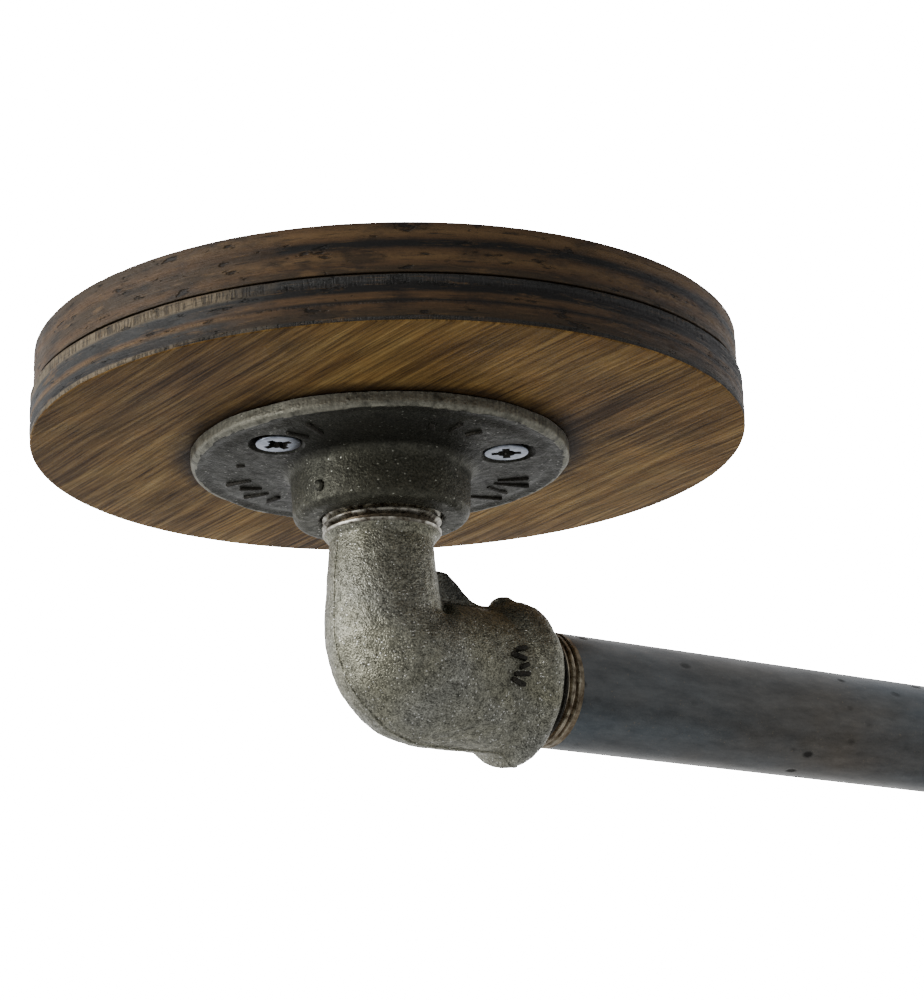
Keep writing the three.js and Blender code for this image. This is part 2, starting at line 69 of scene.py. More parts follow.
# %% Places read from the frame
joints = {joint["name"]: joint for joint in frame["record"]["behaviour"]["joints"]}
mounts = {mount["name"]: mount for mount in frame["record"]["mounts"]}
span = mounts["right_ceiling_face"]["pos_m"][0]
rail_low, rail_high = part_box("rail_pipe")
rail_z = (rail_low.z + rail_high.z) / 2
pipe_radius = (rail_high.z - rail_low.z) / 2
flange_low, flange_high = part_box("left_floor_flange")
elbow_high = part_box("left_street_elbow")[1]
mount_place = {
    "left": Matrix.Identity(4),
    "right": Matrix.Translation((span, 0, 0)) @ Matrix.Rotation(math.pi, 4, "Z"),
}
hanger_place = {
    side: Matrix.Translation(joints[f"{side}_hanger_swing"]["pos_m"]) for side in SIDES
}
axle_place = {
    side: Matrix.Translation(joints[f"{side}_wheel_spin"]["pos_m"]) for side in SIDES
}
print("rail axis", round(rail_z / MM, 1), "mm, pipe radius", round(pipe_radius / MM, 2))

# %% [markdown]
# ## The camera
# The rack is seen from below, from the left of its first mount, with a short tele lens
# that leans a little. A lens and a place in metres are all that a camera needs. Its
# axes are worked out from a heading and a rise, then leaned about the line of sight.

# %% Camera
CAMERA_PLACE = Vector((-0.3147, -0.4652, -0.2079))
CAMERA_HEADING = math.radians(35.92)
CAMERA_RISE = math.radians(17.4)
CAMERA_LEAN = math.radians(-2.19)
CAMERA_LENS = 94.6

camera = bpy.data.objects.new("camera", bpy.data.cameras.new("camera"))
camera.data.lens = CAMERA_LENS
camera.data.sensor_width = 36
camera.data.clip_start, camera.data.clip_end = 0.02, 50
look = Vector((
    math.sin(CAMERA_HEADING) * math.cos(CAMERA_RISE),
    math.cos(CAMERA_HEADING) * math.cos(CAMERA_RISE),
    math.sin(CAMERA_RISE),
))
level = look.cross(Vector((0, 0, 1))).normalized()
upright = level.cross(look)
right = level * math.cos(CAMERA_LEAN) + upright * math.sin(CAMERA_LEAN)
above = right.cross(look)
axes = Matrix((right, above, -look)).transposed()
camera.matrix_world = Matrix.Translation(CAMERA_PLACE) @ axes.to_4x4()
scene.collection.objects.link(camera)
scene.camera = camera
print("camera at", tuple(round(v, 3) for v in CAMERA_PLACE))

# %% [markdown]
# ## Mesh tools
# Nearly every part here is turned, so one tool spins a profile round an axis. Others
# cut or join two shapes, soften the sharp edges, and press an uneven skin into a
# casting. The Boolean modifier is used through short-lived objects, because bmesh has
# no operator for it.


# %% Turned shapes
def arc(across, along, radius, first, last, steps):
    """Points [radius, height] round part of a circle, angles in degrees."""
    turns = [math.radians(first + (last - first) * i / steps) for i in range(steps + 1)]
    return [(across + radius * math.cos(t), along + radius * math.sin(t)) for t in turns]


AXES = {
    "X": (Vector((1, 0, 0)), Vector((0, 0, 1))),
    "Y": (Vector((0, 1, 0)), Vector((1, 0, 0))),
    "Z": (Vector((0, 0, 1)), Vector((1, 0, 0))),
}


def spun(profile, axis="Z", steps=96, ring=False):
    """Turns a profile of (radius, height) right round an axis through the origin."""
    along, outward = AXES[axis]
    bm = bmesh.new()
    verts = [bm.verts.new(outward * radius + along * height) for radius, height in profile]
    edges = [bm.edges.new(pair) for pair in zip(verts, verts[1:])]
    if ring:
        edges.append(bm.edges.new((verts[-1], verts[0])))
    bmesh.ops.spin(
        bm, geom=verts + edges, cent=(0, 0, 0), axis=along, dvec=(0, 0, 0),
        angle=TURN, steps=steps, use_merge=True, use_duplicate=False,
    )
    bmesh.ops.remove_doubles(bm, verts=bm.verts, dist=1e-6)
    bmesh.ops.recalc_face_normals(bm, faces=bm.faces)
    return bm


def rod(radius, low, high, axis="Z", steps=48):
    return spun([(0, low), (radius, low), (radius, high), (0, high)], axis, steps)


def washer_ring(inner, outer, low, high, axis="Z", steps=64):
    corners = [(inner, low), (outer, low), (outer, high), (inner, high)]
    return spun(corners, axis, steps, ring=True)


# %% Cutting, joining and softening
MATERIAL_PLACES = 3


def combined(base, tool, operation="DIFFERENCE"):
    """The base shape with the tool cut away or joined on. Both are used up."""
    holders = []
    for bm in (base, tool):
        mesh = bpy.data.meshes.new("working")
        bm.to_mesh(mesh)
        bm.free()
        for _ in range(MATERIAL_PLACES):
            mesh.materials.append(None)
        holder = bpy.data.objects.new("working", mesh)
        scene.collection.objects.link(holder)
        holders.append(holder)
    boolean = holders[0].modifiers.new("cut", "BOOLEAN")
    boolean.object, boolean.operation, boolean.solver = holders[1], operation, "EXACT"
    result = bmesh.new()
    result.from_object(holders[0], bpy.context.evaluated_depsgraph_get())
    for holder in holders:
        mesh = holder.data
        bpy.data.objects.remove(holder)
        bpy.data.meshes.remove(mesh)
    return result


def merged(*shapes):
    """Several separate shapes in one bmesh. They are used up."""
    whole = bmesh.new()
    mesh = bpy.data.meshes.new("working")
    for bm in shapes:
        bm.to_mesh(mesh)
        bm.free()
        whole.from_mesh(mesh)
    bpy.data.meshes.remove(mesh)
    return whole


def paint_faces(bm, index, chosen=lambda face: True):
    for face in bm.faces:
        if chosen(face):
            face.material_index = index
    return bm


def soften(bm, width, segments=2, sharper_than=40):
    """Rounds every edge that bends by more than an angle."""
    limit = math.radians(sharper_than)
    sharp = [e for e in bm.edges if len(e.link_faces) == 2 and e.calc_face_angle(0) > limit]
    bmesh.ops.bevel(
        bm, geom=sharp, offset=width, offset_type="OFFSET", affect="EDGES",
        segments=segments, profile=0.5, material=-1, clamp_overlap=True,
    )
    return bm


def roughen(bm, size, depth, seed, chosen=lambda place: 1.0):
    """Presses an uneven skin, lumps of a size and depth, along the normals."""
    bm.normal_update()
    shift = Vector((seed * 1.7, seed * 2.3, seed * 3.1))
    moves = [
        v.normal * depth * chosen(v.co) * noise.noise(v.co / size + shift) for v in bm.verts
    ]
    for vert, move in zip(bm.verts, moves):
        vert.co += move
    return bm


# %% Screw threads
def thread(radius, depth, pitch, low, high, axis="Z", steps=40, crest=0.25):
    """A helical ridge standing on a rod, its crest at the radius given."""
    along, outward = AXES[axis]
    turns = (high - low) / pitch - 1
    flat, foot = crest * pitch / 2, pitch * 0.47
    section = [(radius - depth - 0.2 * MM, -foot), (radius - depth * 0.9, -foot),
               (radius, -flat), (radius, flat),
               (radius - depth * 0.9, foot), (radius - depth - 0.2 * MM, foot)]
    bm = bmesh.new()
    verts = [bm.verts.new(outward * r + along * (low + foot + h)) for r, h in section]
    edges = [bm.edges.new(pair) for pair in zip(verts, verts[1:] + verts[:1])]
    count = round(steps * turns)
    bmesh.ops.spin(
        bm, geom=verts + edges, cent=(0, 0, 0), axis=along, angle=TURN * turns, steps=count,
        dvec=along * (pitch * turns / count), use_merge=False, use_duplicate=False,
    )
    bmesh.ops.holes_fill(bm, edges=[e for e in bm.edges if e.is_boundary], sides=8)
    bmesh.ops.recalc_face_normals(bm, faces=bm.faces)
    return bm


# %% Finishing a piece
def finished(name, bm, body, node, materials, crease=38):
    """Makes the object, rides it on its body and hides its CAD node."""
    mesh = bpy.data.meshes.new(name)
    bm.to_mesh(mesh)
    bm.free()
    mesh.shade_smooth()
    mesh.set_sharp_from_angle(angle=math.radians(crease))
    for material in materials:
        mesh.materials.append(material)
    piece = bpy.data.objects.new(name, mesh)
    scene.collection.objects.link(piece)
    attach(piece, body)
    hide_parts(node)
    print(name, len(mesh.polygons), "faces")
    return piece


def moved(bm, matrix):
    """A copy of a shape at another place."""
    copy = bm.copy()
    bmesh.ops.transform(copy, matrix=matrix, verts=copy.verts)
    return copy


def attribute(piece, name, value_at):
    """Writes a value for each vertex, for a material to read."""
    layer = piece.data.attributes.new(name, "FLOAT", "POINT")
    layer.data.foreach_set("value", [value_at(v.co) for v in piece.data.vertices])


# %% [markdown]
# ## Node tools
# A material is a small tree of nodes, and adding each node by hand hides what the tree
# does. These helpers add a node with its inputs set or linked in one call, so that a
# finish reads from coordinates to shader, top to bottom.


# %% Node helpers
def add(tree, kind, inputs=None, **settings):
    """Adds a node, sets its options, and sets or links its inputs by name or number."""
    node = tree.nodes.new("ShaderNode" + kind)
    for key, value in settings.items():
        setattr(node, key, value)
    for key, value in (inputs or {}).items():
        if isinstance(value, bpy.types.NodeSocket):
            tree.links.new(value, node.inputs[key])
        else:
            node.inputs[key].default_value = value
    return node


def maths(tree, operation, first, second=0.0, third=0.0):
    node = add(tree, "Math", {0: first, 1: second, 2: third}, operation=operation)
    return node.outputs[0]


def spread(tree, value, low, high, to_low=0.0, to_high=1.0):
    """Stretches a stretch of values over another, held at both ends."""
    inputs = {"Value": value, 1: low, 2: high, 3: to_low, 4: to_high}
    return add(tree, "MapRange", inputs, clamp=True).outputs[0]


def blend(tree, share, first, second, mode="MIX"):
    """Mixes two colours by a share from 0 to 1."""
    node = add(tree, "Mix", {0: share}, data_type="RGBA", blend_type=mode)
    for place, colour in ((6, first), (7, second)):
        if isinstance(colour, bpy.types.NodeSocket):
            tree.links.new(colour, node.inputs[place])
        else:
            node.inputs[place].default_value = (*colour, 1)
    return node.outputs[2]


def ramp(tree, value, stops):
    """A colour ramp of (position, colour) stops."""
    node = add(tree, "ValToRGB", {0: value})
    bar = node.color_ramp
    bar.elements.remove(bar.elements[1])
    bar.elements[0].position = stops[0][0]
    bar.elements[0].color = (*stops[0][1], 1)
    for place, colour in stops[1:]:
        bar.elements.new(place).color = (*colour, 1)
    return node.outputs[0]


def scaled(tree, vector, scale):
    return add(tree, "Mapping", {"Vector": vector, "Scale": scale}).outputs[0]


def cloud(tree, vector, scale, detail=3.0, roughness=0.5, distortion=0.0):
    inputs = {"Vector": vector, "Scale": scale, "Detail": detail,
              "Roughness": roughness, "Distortion": distortion}
    return add(tree, "TexNoise", inputs).outputs[0]


def bumped(tree, height, depth):
    """A normal pushed in or out by a height, over a depth in metres."""
    inputs = {"Height": height, "Distance": depth, "Strength": 1.0}
    return add(tree, "Bump", inputs).outputs[0]


def new_finish(name, **constants):
    """A material with one Principled shader. The constants are set on its own sockets."""
    material = bpy.data.materials.new(name)
    material.use_nodes = True
    tree = material.node_tree
    tree.nodes.clear()
    shader = add(tree, "BsdfPrincipled")
    for key, value in constants.items():
        shader.inputs[key.replace("_", " ")].default_value = value
    add(tree, "OutputMaterial", {"Surface": shader.outputs[0]})
    place = add(tree, "TexCoord").outputs["Object"]
    return material, tree, shader, place


def wire(tree, shader, **sources):
    for key, source in sources.items():
        tree.links.new(source, shader.inputs[key.replace("_", " ")])


def read_attribute(tree, name):
    return add(tree, "Attribute", attribute_name=name).outputs["Fac"]


# %% [markdown]
# ## Effects that several finishes share
# Sand-cast iron, its glinting specks, the slow stains of oil and handling, and rubbed
# edges turn up on many pieces, so each is a node group made once. A group takes
# coordinates and how many grains lie in a metre, and puts out only values that change
# over the surface.


# %% Shader groups
def new_group(name, inputs, outputs):
    group = bpy.data.node_groups.new(name, "ShaderNodeTree")
    for socket, kind, value in inputs:
        made = group.interface.new_socket(socket, in_out="INPUT", socket_type=kind)
        if value is not None:
            made.default_value = value
    for socket in outputs:
        group.interface.new_socket(socket, in_out="OUTPUT", socket_type="NodeSocketFloat")
    start = group.nodes.new("NodeGroupInput").outputs
    end = group.nodes.new("NodeGroupOutput").inputs
    return group, start, end


def use_group(tree, group, **inputs):
    node = tree.nodes.new("ShaderNodeGroup")
    node.node_tree = group
    for key, value in inputs.items():
        socket = node.inputs[key]
        if isinstance(value, bpy.types.NodeSocket):
            tree.links.new(value, socket)
        else:
            socket.default_value = value
    return node.outputs


# %% Cast skin group
def make_cast_skin():
    """The lumpy skin of a sand casting: a height, slow tones, single grains, glints."""
    group, start, end = new_group(
        "Cast skin",
        [("Place", "NodeSocketVector", None), ("Grains", "NodeSocketFloat", 1900.0),
         ("Glints", "NodeSocketFloat", 0.1)],
        ("Height", "Tone", "Grain", "Fleck", "Glint"),
    )
    coarse = maths(group, "MULTIPLY", start["Grains"], 0.3)
    dunes = cloud(group, start["Place"], coarse, 2.0, 0.5)
    lumps = cloud(group, start["Place"], start["Grains"], 2.0, 0.6)
    cells = add(group, "TexVoronoi", {"Vector": start["Place"], "Scale": start["Grains"]})
    pick = add(group, "SeparateColor", {0: cells.outputs["Color"]}).outputs[0]
    core = spread(group, cells.outputs["Distance"], 0.15, 0.75, 1.0, 0.0)
    grain = maths(group, "MULTIPLY", core, pick)
    height = maths(group, "MULTIPLY_ADD", grain, 0.55, lumps)
    height = maths(group, "ADD", height, maths(group, "MULTIPLY", dunes, 0.8))
    limit = maths(group, "SUBTRACT", 1.0, start["Glints"])
    chosen = maths(group, "GREATER_THAN", pick, limit)
    glint = maths(group, "MULTIPLY", chosen, spread(group, core, 0.35, 0.7))
    fleck = spread(group, lumps, 0.38, 0.62)
    outputs = {"Height": height, "Tone": dunes, "Grain": grain, "Fleck": fleck,
               "Glint": glint}
    for name, source in outputs.items():
        group.links.new(source, end[name])
    return group


# %% Stain and wear groups
def make_stains():
    """Slow stains and finer smudges, both from 0 to 1."""
    group, start, end = new_group(
        "Stains", [("Place", "NodeSocketVector", None), ("Size", "NodeSocketFloat", 40.0)],
        ("Slow", "Smudge"),
    )
    slow = cloud(group, start["Place"], start["Size"], 4.0, 0.55, 0.6)
    finer = maths(group, "MULTIPLY", start["Size"], 6.0)
    smudge = cloud(group, start["Place"], finer, 5.0, 0.6)
    group.links.new(spread(group, slow, 0.32, 0.68), end["Slow"])
    group.links.new(spread(group, smudge, 0.35, 0.7), end["Smudge"])
    return group


def make_worn_edges():
    """Where an edge stands out far enough to be rubbed bright."""
    group, start, end = new_group(
        "Worn edges", [("Place", "NodeSocketVector", None), ("Reach", "NodeSocketFloat", 0.08)],
        ("Wear",),
    )
    edge = add(group, "NewGeometry").outputs["Pointiness"]
    high = maths(group, "ADD", 0.5, start["Reach"])
    lifted = spread(group, edge, 0.51, high)
    breaks = spread(group, cloud(group, start["Place"], 500.0, 4.0, 0.6), 0.35, 0.65)
    group.links.new(maths(group, "MULTIPLY", lifted, breaks), end["Wear"])
    return group


cast_skin = make_cast_skin()
stains = make_stains()
worn_edges = make_worn_edges()
print("groups:", ", ".join(g.name for g in (cast_skin, stains, worn_edges)))

# %% [markdown]
# ## Stained plywood
# The discs are sawn from veneered plywood and wiped with a dark stain. Their flat faces
# show straight fibres. Their edges show the plies: a ply cut along its grain takes a
# smooth brown, and a ply cut across it drinks more stain and goes nearly black, or is
# sanded through to a pale tan. An image would be easy but would not survive a close
# look, so the fibres are noise drawn out along the grain, and the plies are a ramp up
# the edge's height, which a wavering height keeps from looking printed.

# %% Places on a mount, for materials


def from_flange_axis(tree, place):
    """Distance from the nearer flange's axis, the same for both ends of the rack."""
    parts = add(tree, "SeparateXYZ", {0: place}).outputs
    folded = maths(tree, "PINGPONG", parts[0], span / 2)
    square = maths(tree, "MULTIPLY_ADD", folded, folded,
                   maths(tree, "MULTIPLY", parts[1], parts[1]))
    return maths(tree, "SQRT", square)


def along_mount(tree, place):
    """Distance from the flange's axis towards the middle of the rack, minus behind it."""
    x = add(tree, "SeparateXYZ", {0: place}).outputs[0]
    past_middle = maths(tree, "ABSOLUTE", maths(tree, "SUBTRACT", x, span / 2))
    return maths(tree, "SUBTRACT", span / 2, past_middle)


# %% Veneer face
FIBRES = 1050.0
FIBRE_STRETCH = 0.03
STAIN_TONES = ((0.0, (0.050, 0.027, 0.008)), (0.28, (0.128, 0.072, 0.020)),
               (0.52, (0.222, 0.132, 0.039)), (0.78, (0.345, 0.218, 0.068)),
               (1.0, (0.480, 0.325, 0.115)))
# Painted contact shadow with pooled stain, for the ring round the flange.
STAIN_AND_CONTACT_SHADE = (0.012, 0.007, 0.004)
SEAM_STAIN = (0.012, 0.009, 0.006)
PORE = (0.022, 0.013, 0.006)
STAIN_AND_SHADE_WIDTH = 5 * MM


def make_veneer():
    material, tree, shader, place = new_finish("stained veneer", Specular_IOR_Level=0.12)
    sway = cloud(tree, place, 9.0, 2.0)
    swayed = add(tree, "VectorMath", {0: place}, operation="ADD")
    shove = maths(tree, "MULTIPLY", maths(tree, "SUBTRACT", sway, 0.5), 0.006)
    tree.links.new(add(tree, "CombineXYZ", {0: shove}).outputs[0], swayed.inputs[1])
    along = scaled(tree, swayed.outputs[0], (1, FIBRE_STRETCH, 1))
    fibre = cloud(tree, along, FIBRES, 4.0, 0.65)
    hair = cloud(tree, along, FIBRES * 2.2, 3.0, 0.6)
    figure = cloud(tree, scaled(tree, swayed.outputs[0], (1, 0.14, 1)), 70.0, 3.0, 0.5, 0.4)
    stain = use_group(tree, stains, Place=place, Size=22.0)
    tone = maths(tree, "MULTIPLY_ADD", fibre, 0.66, maths(tree, "MULTIPLY", figure, 0.34))
    tone = maths(tree, "MULTIPLY_ADD", stain["Slow"], 0.10, tone)
    colour = ramp(tree, spread(tree, tone, 0.38, 0.72), STAIN_TONES)
    pores = spread(tree, hair, 0.36, 0.46, 1.0, 0.0)
    colour = blend(tree, maths(tree, "MULTIPLY", pores, 0.5), colour, PORE)
    # Painted light: the face is darker behind the flange and lighter towards the middle of the
    # rack, where more light falls.
    inward = spread(tree, along_mount(tree, place), -0.055, 0.065)
    deep = blend(tree, 1.0, colour, (0.84, 0.83, 0.80), "MULTIPLY")
    lit_side = blend(tree, 1.0, colour, (1.30, 1.28, 1.22), "MULTIPLY")
    colour = blend(tree, inward, deep, lit_side)
    warm = blend(tree, 1.0, colour, (1.20, 0.92, 0.66), "MULTIPLY")
    colour = blend(tree, maths(tree, "MULTIPLY", stain["Smudge"], 0.4), colour, warm)
    # Painted contact shadow with pooled stain: the wood below the flange's top is darkened in a
    # ring just outside its rim.
    away = maths(tree, "MULTIPLY_ADD", stain["Smudge"], -0.003, from_flange_axis(tree, place))
    stain_and_shade = spread(tree, away, flange_high.x, flange_high.x + STAIN_AND_SHADE_WIDTH, 0.85, 0.0)
    height = add(tree, "SeparateXYZ", {0: place}).outputs[2]
    below = maths(tree, "LESS_THAN", height, flange_high.z + MM)
    stain_and_shade = maths(tree, "MULTIPLY", stain_and_shade, below)
    colour = blend(tree, stain_and_shade, colour, STAIN_AND_CONTACT_SHADE)
    at_seam = maths(tree, "COMPARE", height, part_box("left_face_disc")[1].z, MM)
    colour = blend(tree, maths(tree, "MULTIPLY", at_seam, 0.92), colour, SEAM_STAIN)
    rough = spread(tree, fibre, 0.3, 0.7, 0.64, 0.50)
    height = maths(tree, "MULTIPLY_ADD", pores, -0.3, fibre)
    wire(tree, shader, Base_Color=colour, Roughness=rough,
         Normal=bumped(tree, height, 0.00012))
    return material


veneer = make_veneer()
print("made", veneer.name)

# %% [markdown]
# The edge reads each vertex's share of end grain, which is written on the mesh as an
# attribute, because it depends on the direction from the disc's own middle. Plies that
# lie along Y show end grain to the front and back, and the crossed ones to the sides.

# %% Ply edge
PLY_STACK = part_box("left_face_disc")[0].z
DARK = (0.013, 0.012, 0.011)
SLATE = (0.034, 0.034, 0.032)
UMBER = (0.054, 0.036, 0.020)
RUSSET = (0.098, 0.056, 0.026)
AMBER = (0.165, 0.098, 0.042)
STRAW = (0.190, 0.147, 0.090)


def make_ply_edge():
    material, tree, shader, place = new_finish("plywood edge", Specular_IOR_Level=0.25)
    across = read_attribute(tree, "end_grain")
    along = maths(tree, "SUBTRACT", 1.0, across)
    waver = cloud(tree, scaled(tree, place, (1, 1, 0.2)), 24.0, 3.0, 0.6)
    height = add(tree, "SeparateXYZ", {0: place}).outputs[2]
    height = maths(tree, "ADD", height,
                   maths(tree, "MULTIPLY", maths(tree, "SUBTRACT", waver, 0.5), 0.0011))
    depth = maths(tree, "DIVIDE", height, PLY_STACK)
    lengthwise = ramp(tree, depth, [
        (0.0, DARK), (0.03, RUSSET), (0.10, AMBER), (0.155, RUSSET), (0.19, DARK),
        (0.24, DARK), (0.28, RUSSET), (0.34, AMBER), (0.41, RUSSET), (0.44, UMBER),
        (0.49, UMBER), (0.52, SLATE), (0.57, SLATE), (0.60, DARK), (0.68, DARK),
        (0.71, RUSSET), (0.755, RUSSET), (0.785, DARK), (0.82, RUSSET), (0.90, UMBER),
        (0.94, UMBER), (0.96, SLATE), (1.0, UMBER),
    ])
    crosswise = ramp(tree, depth, [
        (0.0, UMBER), (0.10, UMBER), (0.20, RUSSET), (0.26, UMBER), (0.36, UMBER),
        (0.42, RUSSET), (0.50, UMBER), (0.53, STRAW), (0.61, STRAW), (0.645, SLATE),
        (0.75, SLATE), (0.78, RUSSET), (0.805, AMBER), (0.83, UMBER), (0.855, SLATE),
        (0.935, DARK), (0.955, STRAW), (1.0, STRAW),
    ])
    patches = cloud(tree, scaled(tree, place, (1, 1, 2.5)), 42.0, 3.0, 0.6)
    share = maths(tree, "ADD", across, maths(tree, "MULTIPLY_ADD", patches, 0.7, -0.35))
    colour = blend(tree, spread(tree, share, 0.62, 0.88), lengthwise, crosswise)
    streak_place = scaled(tree, place, (0.05, 0.05, 1.0))
    streaks = cloud(tree, streak_place, 2300.0, 4.0, 0.75)
    colour = blend(tree, spread(tree, streaks, 0.44, 0.30, 0.0, 0.85), colour, DARK)
    colour = blend(tree, spread(tree, streaks, 0.57, 0.70, 0.0, 0.6), colour, AMBER)
    smears = cloud(tree, scaled(tree, place, (1, 1, 3.0)), 75.0, 4.0, 0.65)
    colour = blend(tree, spread(tree, smears, 0.5, 0.66, 0.0, 0.7), colour, DARK)
    scrapes = cloud(tree, scaled(tree, place, (0.35, 0.35, 2.0)), 300.0, 5.0, 0.7)
    colour = blend(tree, spread(tree, scrapes, 0.58, 0.68, 0.0, 0.6), colour, AMBER)
    gouges = cloud(tree, scaled(tree, place, (0.25, 0.25, 1.0)), 620.0, 3.0, 0.6)
    gouges = spread(tree, gouges, 0.62, 0.68)
    colour = blend(tree, maths(tree, "MULTIPLY", gouges, 0.8), colour, DARK)
    ticks = cloud(tree, scaled(tree, place, (1, 1, 0.12)), 1900.0, 3.0, 0.7)
    pale = spread(tree, add(tree, "SeparateColor", {0: crosswise}).outputs[0], 0.12, 0.2)
    ticks = maths(tree, "MULTIPLY", spread(tree, ticks, 0.40, 0.52, 1.0, 0.0), pale)
    colour = blend(tree, maths(tree, "MULTIPLY", ticks, 0.75), colour, DARK)
    rough = spread(tree, streaks, 0.3, 0.7, 0.66, 0.44)
    relief = maths(tree, "SUBTRACT", streaks, maths(tree, "MULTIPLY", ticks, 0.6))
    relief = maths(tree, "SUBTRACT", relief, gouges)
    soft = maths(tree, "MULTIPLY", along, 0.2)
    relief = maths(tree, "ADD", relief, maths(tree, "MULTIPLY", soft, patches))
    wire(tree, shader, Base_Color=colour, Roughness=rough,
         Normal=bumped(tree, relief, 0.00030))
    return material


ply_edge = make_ply_edge()
print("made", ply_edge.name)

# %% [markdown]
# ## Iron and steel
# The flange is grey sand-cast iron with an oily brown cast over it. The elbow is
# malleable iron, coarser and brighter, as if sprinkled with sugar. Machined threads are
# bare metal, bright on the crests and brown in the roots. All of them are one metal
# with different grain, so they share the cast skin group and differ in its values.


# %% Cast iron finishes
def make_cast(name, dark, light, glint, grains, glints, depth, rough, brown=0.35):
    material, tree, shader, place = new_finish(name, Metallic=0.8)
    skin = use_group(tree, cast_skin, Place=place, Grains=grains, Glints=glints)
    stain = use_group(tree, stains, Place=place, Size=45.0)
    slow = maths(tree, "MULTIPLY", spread(tree, skin["Tone"], 0.34, 0.66), 0.30)
    tone = maths(tree, "MULTIPLY_ADD", skin["Grain"], 0.45, slow)
    tone = maths(tree, "MULTIPLY_ADD", skin["Fleck"], 0.50, tone)
    colour = blend(tree, tone, dark, light)
    rust = blend(tree, 1.0, colour, (1.02, 0.97, 0.72), "MULTIPLY")
    colour = blend(tree, maths(tree, "MULTIPLY", stain["Slow"], brown), colour, rust)
    dirt = maths(tree, "MULTIPLY", stain["Smudge"], 0.3)
    colour = blend(tree, dirt, colour, [v * 0.5 for v in dark])
    colour = blend(tree, skin["Glint"], colour, glint)
    roughness = spread(tree, skin["Tone"], 0.35, 0.65, rough + 0.07, rough - 0.05)
    shine = maths(tree, "MULTIPLY", skin["Glint"], 0.2)
    roughness = maths(tree, "SUBTRACT", roughness, shine)
    wire(tree, shader, Base_Color=colour, Roughness=roughness,
         Normal=bumped(tree, skin["Height"], depth))
    return material, tree, shader, colour, place


# %% Flange and elbow iron
CORNER_SHADE = (0.020, 0.022, 0.024)
HUB_LIT_RADIUS = 20.5 * MM
PLATE_SHADE_RADIUS = 22.5 * MM


def make_flange_iron():
    """Cast iron with file marks on the rim. Painted light makes the rim wall and the hub
    lighter, and painted shade makes the plate darker.
    """
    material, tree, shader, colour, place = make_cast(
        "flange iron", (0.030, 0.030, 0.024), (0.092, 0.091, 0.074), (0.26, 0.26, 0.22),
        1900.0, 0.03, 0.00013, 0.48)
    filed_and_lit = read_attribute(tree, "filed_and_lit")
    files = cloud(tree, scaled(tree, place, (1, 1, 0.08)), 1100.0, 3.0, 0.7)
    bright = ramp(tree, files, [(0.3, (0.19, 0.185, 0.145)), (0.7, (0.37, 0.36, 0.29))])
    ragged = cloud(tree, place, 260.0, 4.0, 0.6)
    # Painted light with file marks: the rim wall takes the bright, file-marked colour.
    reach = maths(tree, "ADD", filed_and_lit, maths(tree, "MULTIPLY_ADD", ragged, 0.7, -0.35))
    share = spread(tree, reach, 0.45, 0.62)
    # Painted light and shade: the hub takes a lighter copy of the iron and the plate takes a
    # darker one.
    hub = spread(tree, from_flange_axis(tree, place), HUB_LIT_RADIUS, PLATE_SHADE_RADIUS, 1.0, 0.0)
    plate = blend(tree, 1.0, colour, (0.86, 0.87, 0.89), "MULTIPLY")
    lit_hub = blend(tree, 1.0, colour, (1.55, 1.55, 1.52), "MULTIPLY")
    colour = blend(tree, hub, plate, lit_hub)
    wire(tree, shader, Base_Color=blend(tree, share, colour, bright))
    return material


def make_elbow_iron():
    """Coarse bright iron, with painted shade in the corner of the bend."""
    material, tree, shader, colour, _ = make_cast(
        "elbow iron", (0.064, 0.064, 0.053), (0.560, 0.560, 0.480), (0.80, 0.80, 0.74),
        2300.0, 0.05, 0.00020, 0.42, 0.7)
    # Painted shade: the iron darkens towards the inside corner of the bend.
    painted_shade = maths(tree, "MULTIPLY", read_attribute(tree, "corner_shade"), 0.8)
    wire(tree, shader, Base_Color=blend(tree, painted_shade, colour, CORNER_SHADE))
    return material


flange_iron = make_flange_iron()
elbow_iron = make_elbow_iron()
sheave_iron = make_cast(
    "sheave iron", (0.060, 0.057, 0.053), (0.150, 0.143, 0.132), (0.50, 0.50, 0.47),
    1900.0, 0.04, 0.00010, 0.46)[0]
# A dark iron that is painted shade with some dirt: on the cast marks, in the screw recesses and
# on the rail's thread by the elbow.
dirt_and_shade_iron = make_cast(
    "dirt and shade iron", (0.018, 0.017, 0.015), (0.075, 0.070, 0.060), (0.16, 0.16, 0.14),
    1900.0, 0.03, 0.00010, 0.55)[0]
print("made", flange_iron.name, elbow_iron.name, sheave_iron.name, dirt_and_shade_iron.name)


# %% Machined and rolled finishes
def make_cut_metal(name, bright, dull, rough, lines=1400.0, stretch=(1, 1, 1), brown=0.5,
                   crest=None):
    """Bare turned metal: fine tool lines, tarnish in slow patches, and rubbed crests."""
    material, tree, shader, place = new_finish(name, Metallic=1.0)
    stain = use_group(tree, stains, Place=place, Size=90.0)
    tool = cloud(tree, scaled(tree, place, stretch), lines, 3.0, 0.6)
    colour = blend(tree, spread(tree, tool, 0.35, 0.65), dull, bright)
    tarnish = blend(tree, 1.0, colour, (0.62, 0.42, 0.28), "MULTIPLY")
    colour = blend(tree, maths(tree, "MULTIPLY", stain["Slow"], brown), colour, tarnish)
    if crest:
        wear = use_group(tree, worn_edges, Place=place, Reach=0.05)["Wear"]
        colour = blend(tree, wear, colour, crest)
    roughness = maths(tree, "MULTIPLY_ADD", stain["Smudge"], 0.16, rough)
    wire(tree, shader, Base_Color=colour, Roughness=roughness,
         Normal=bumped(tree, tool, 0.00004))
    return material


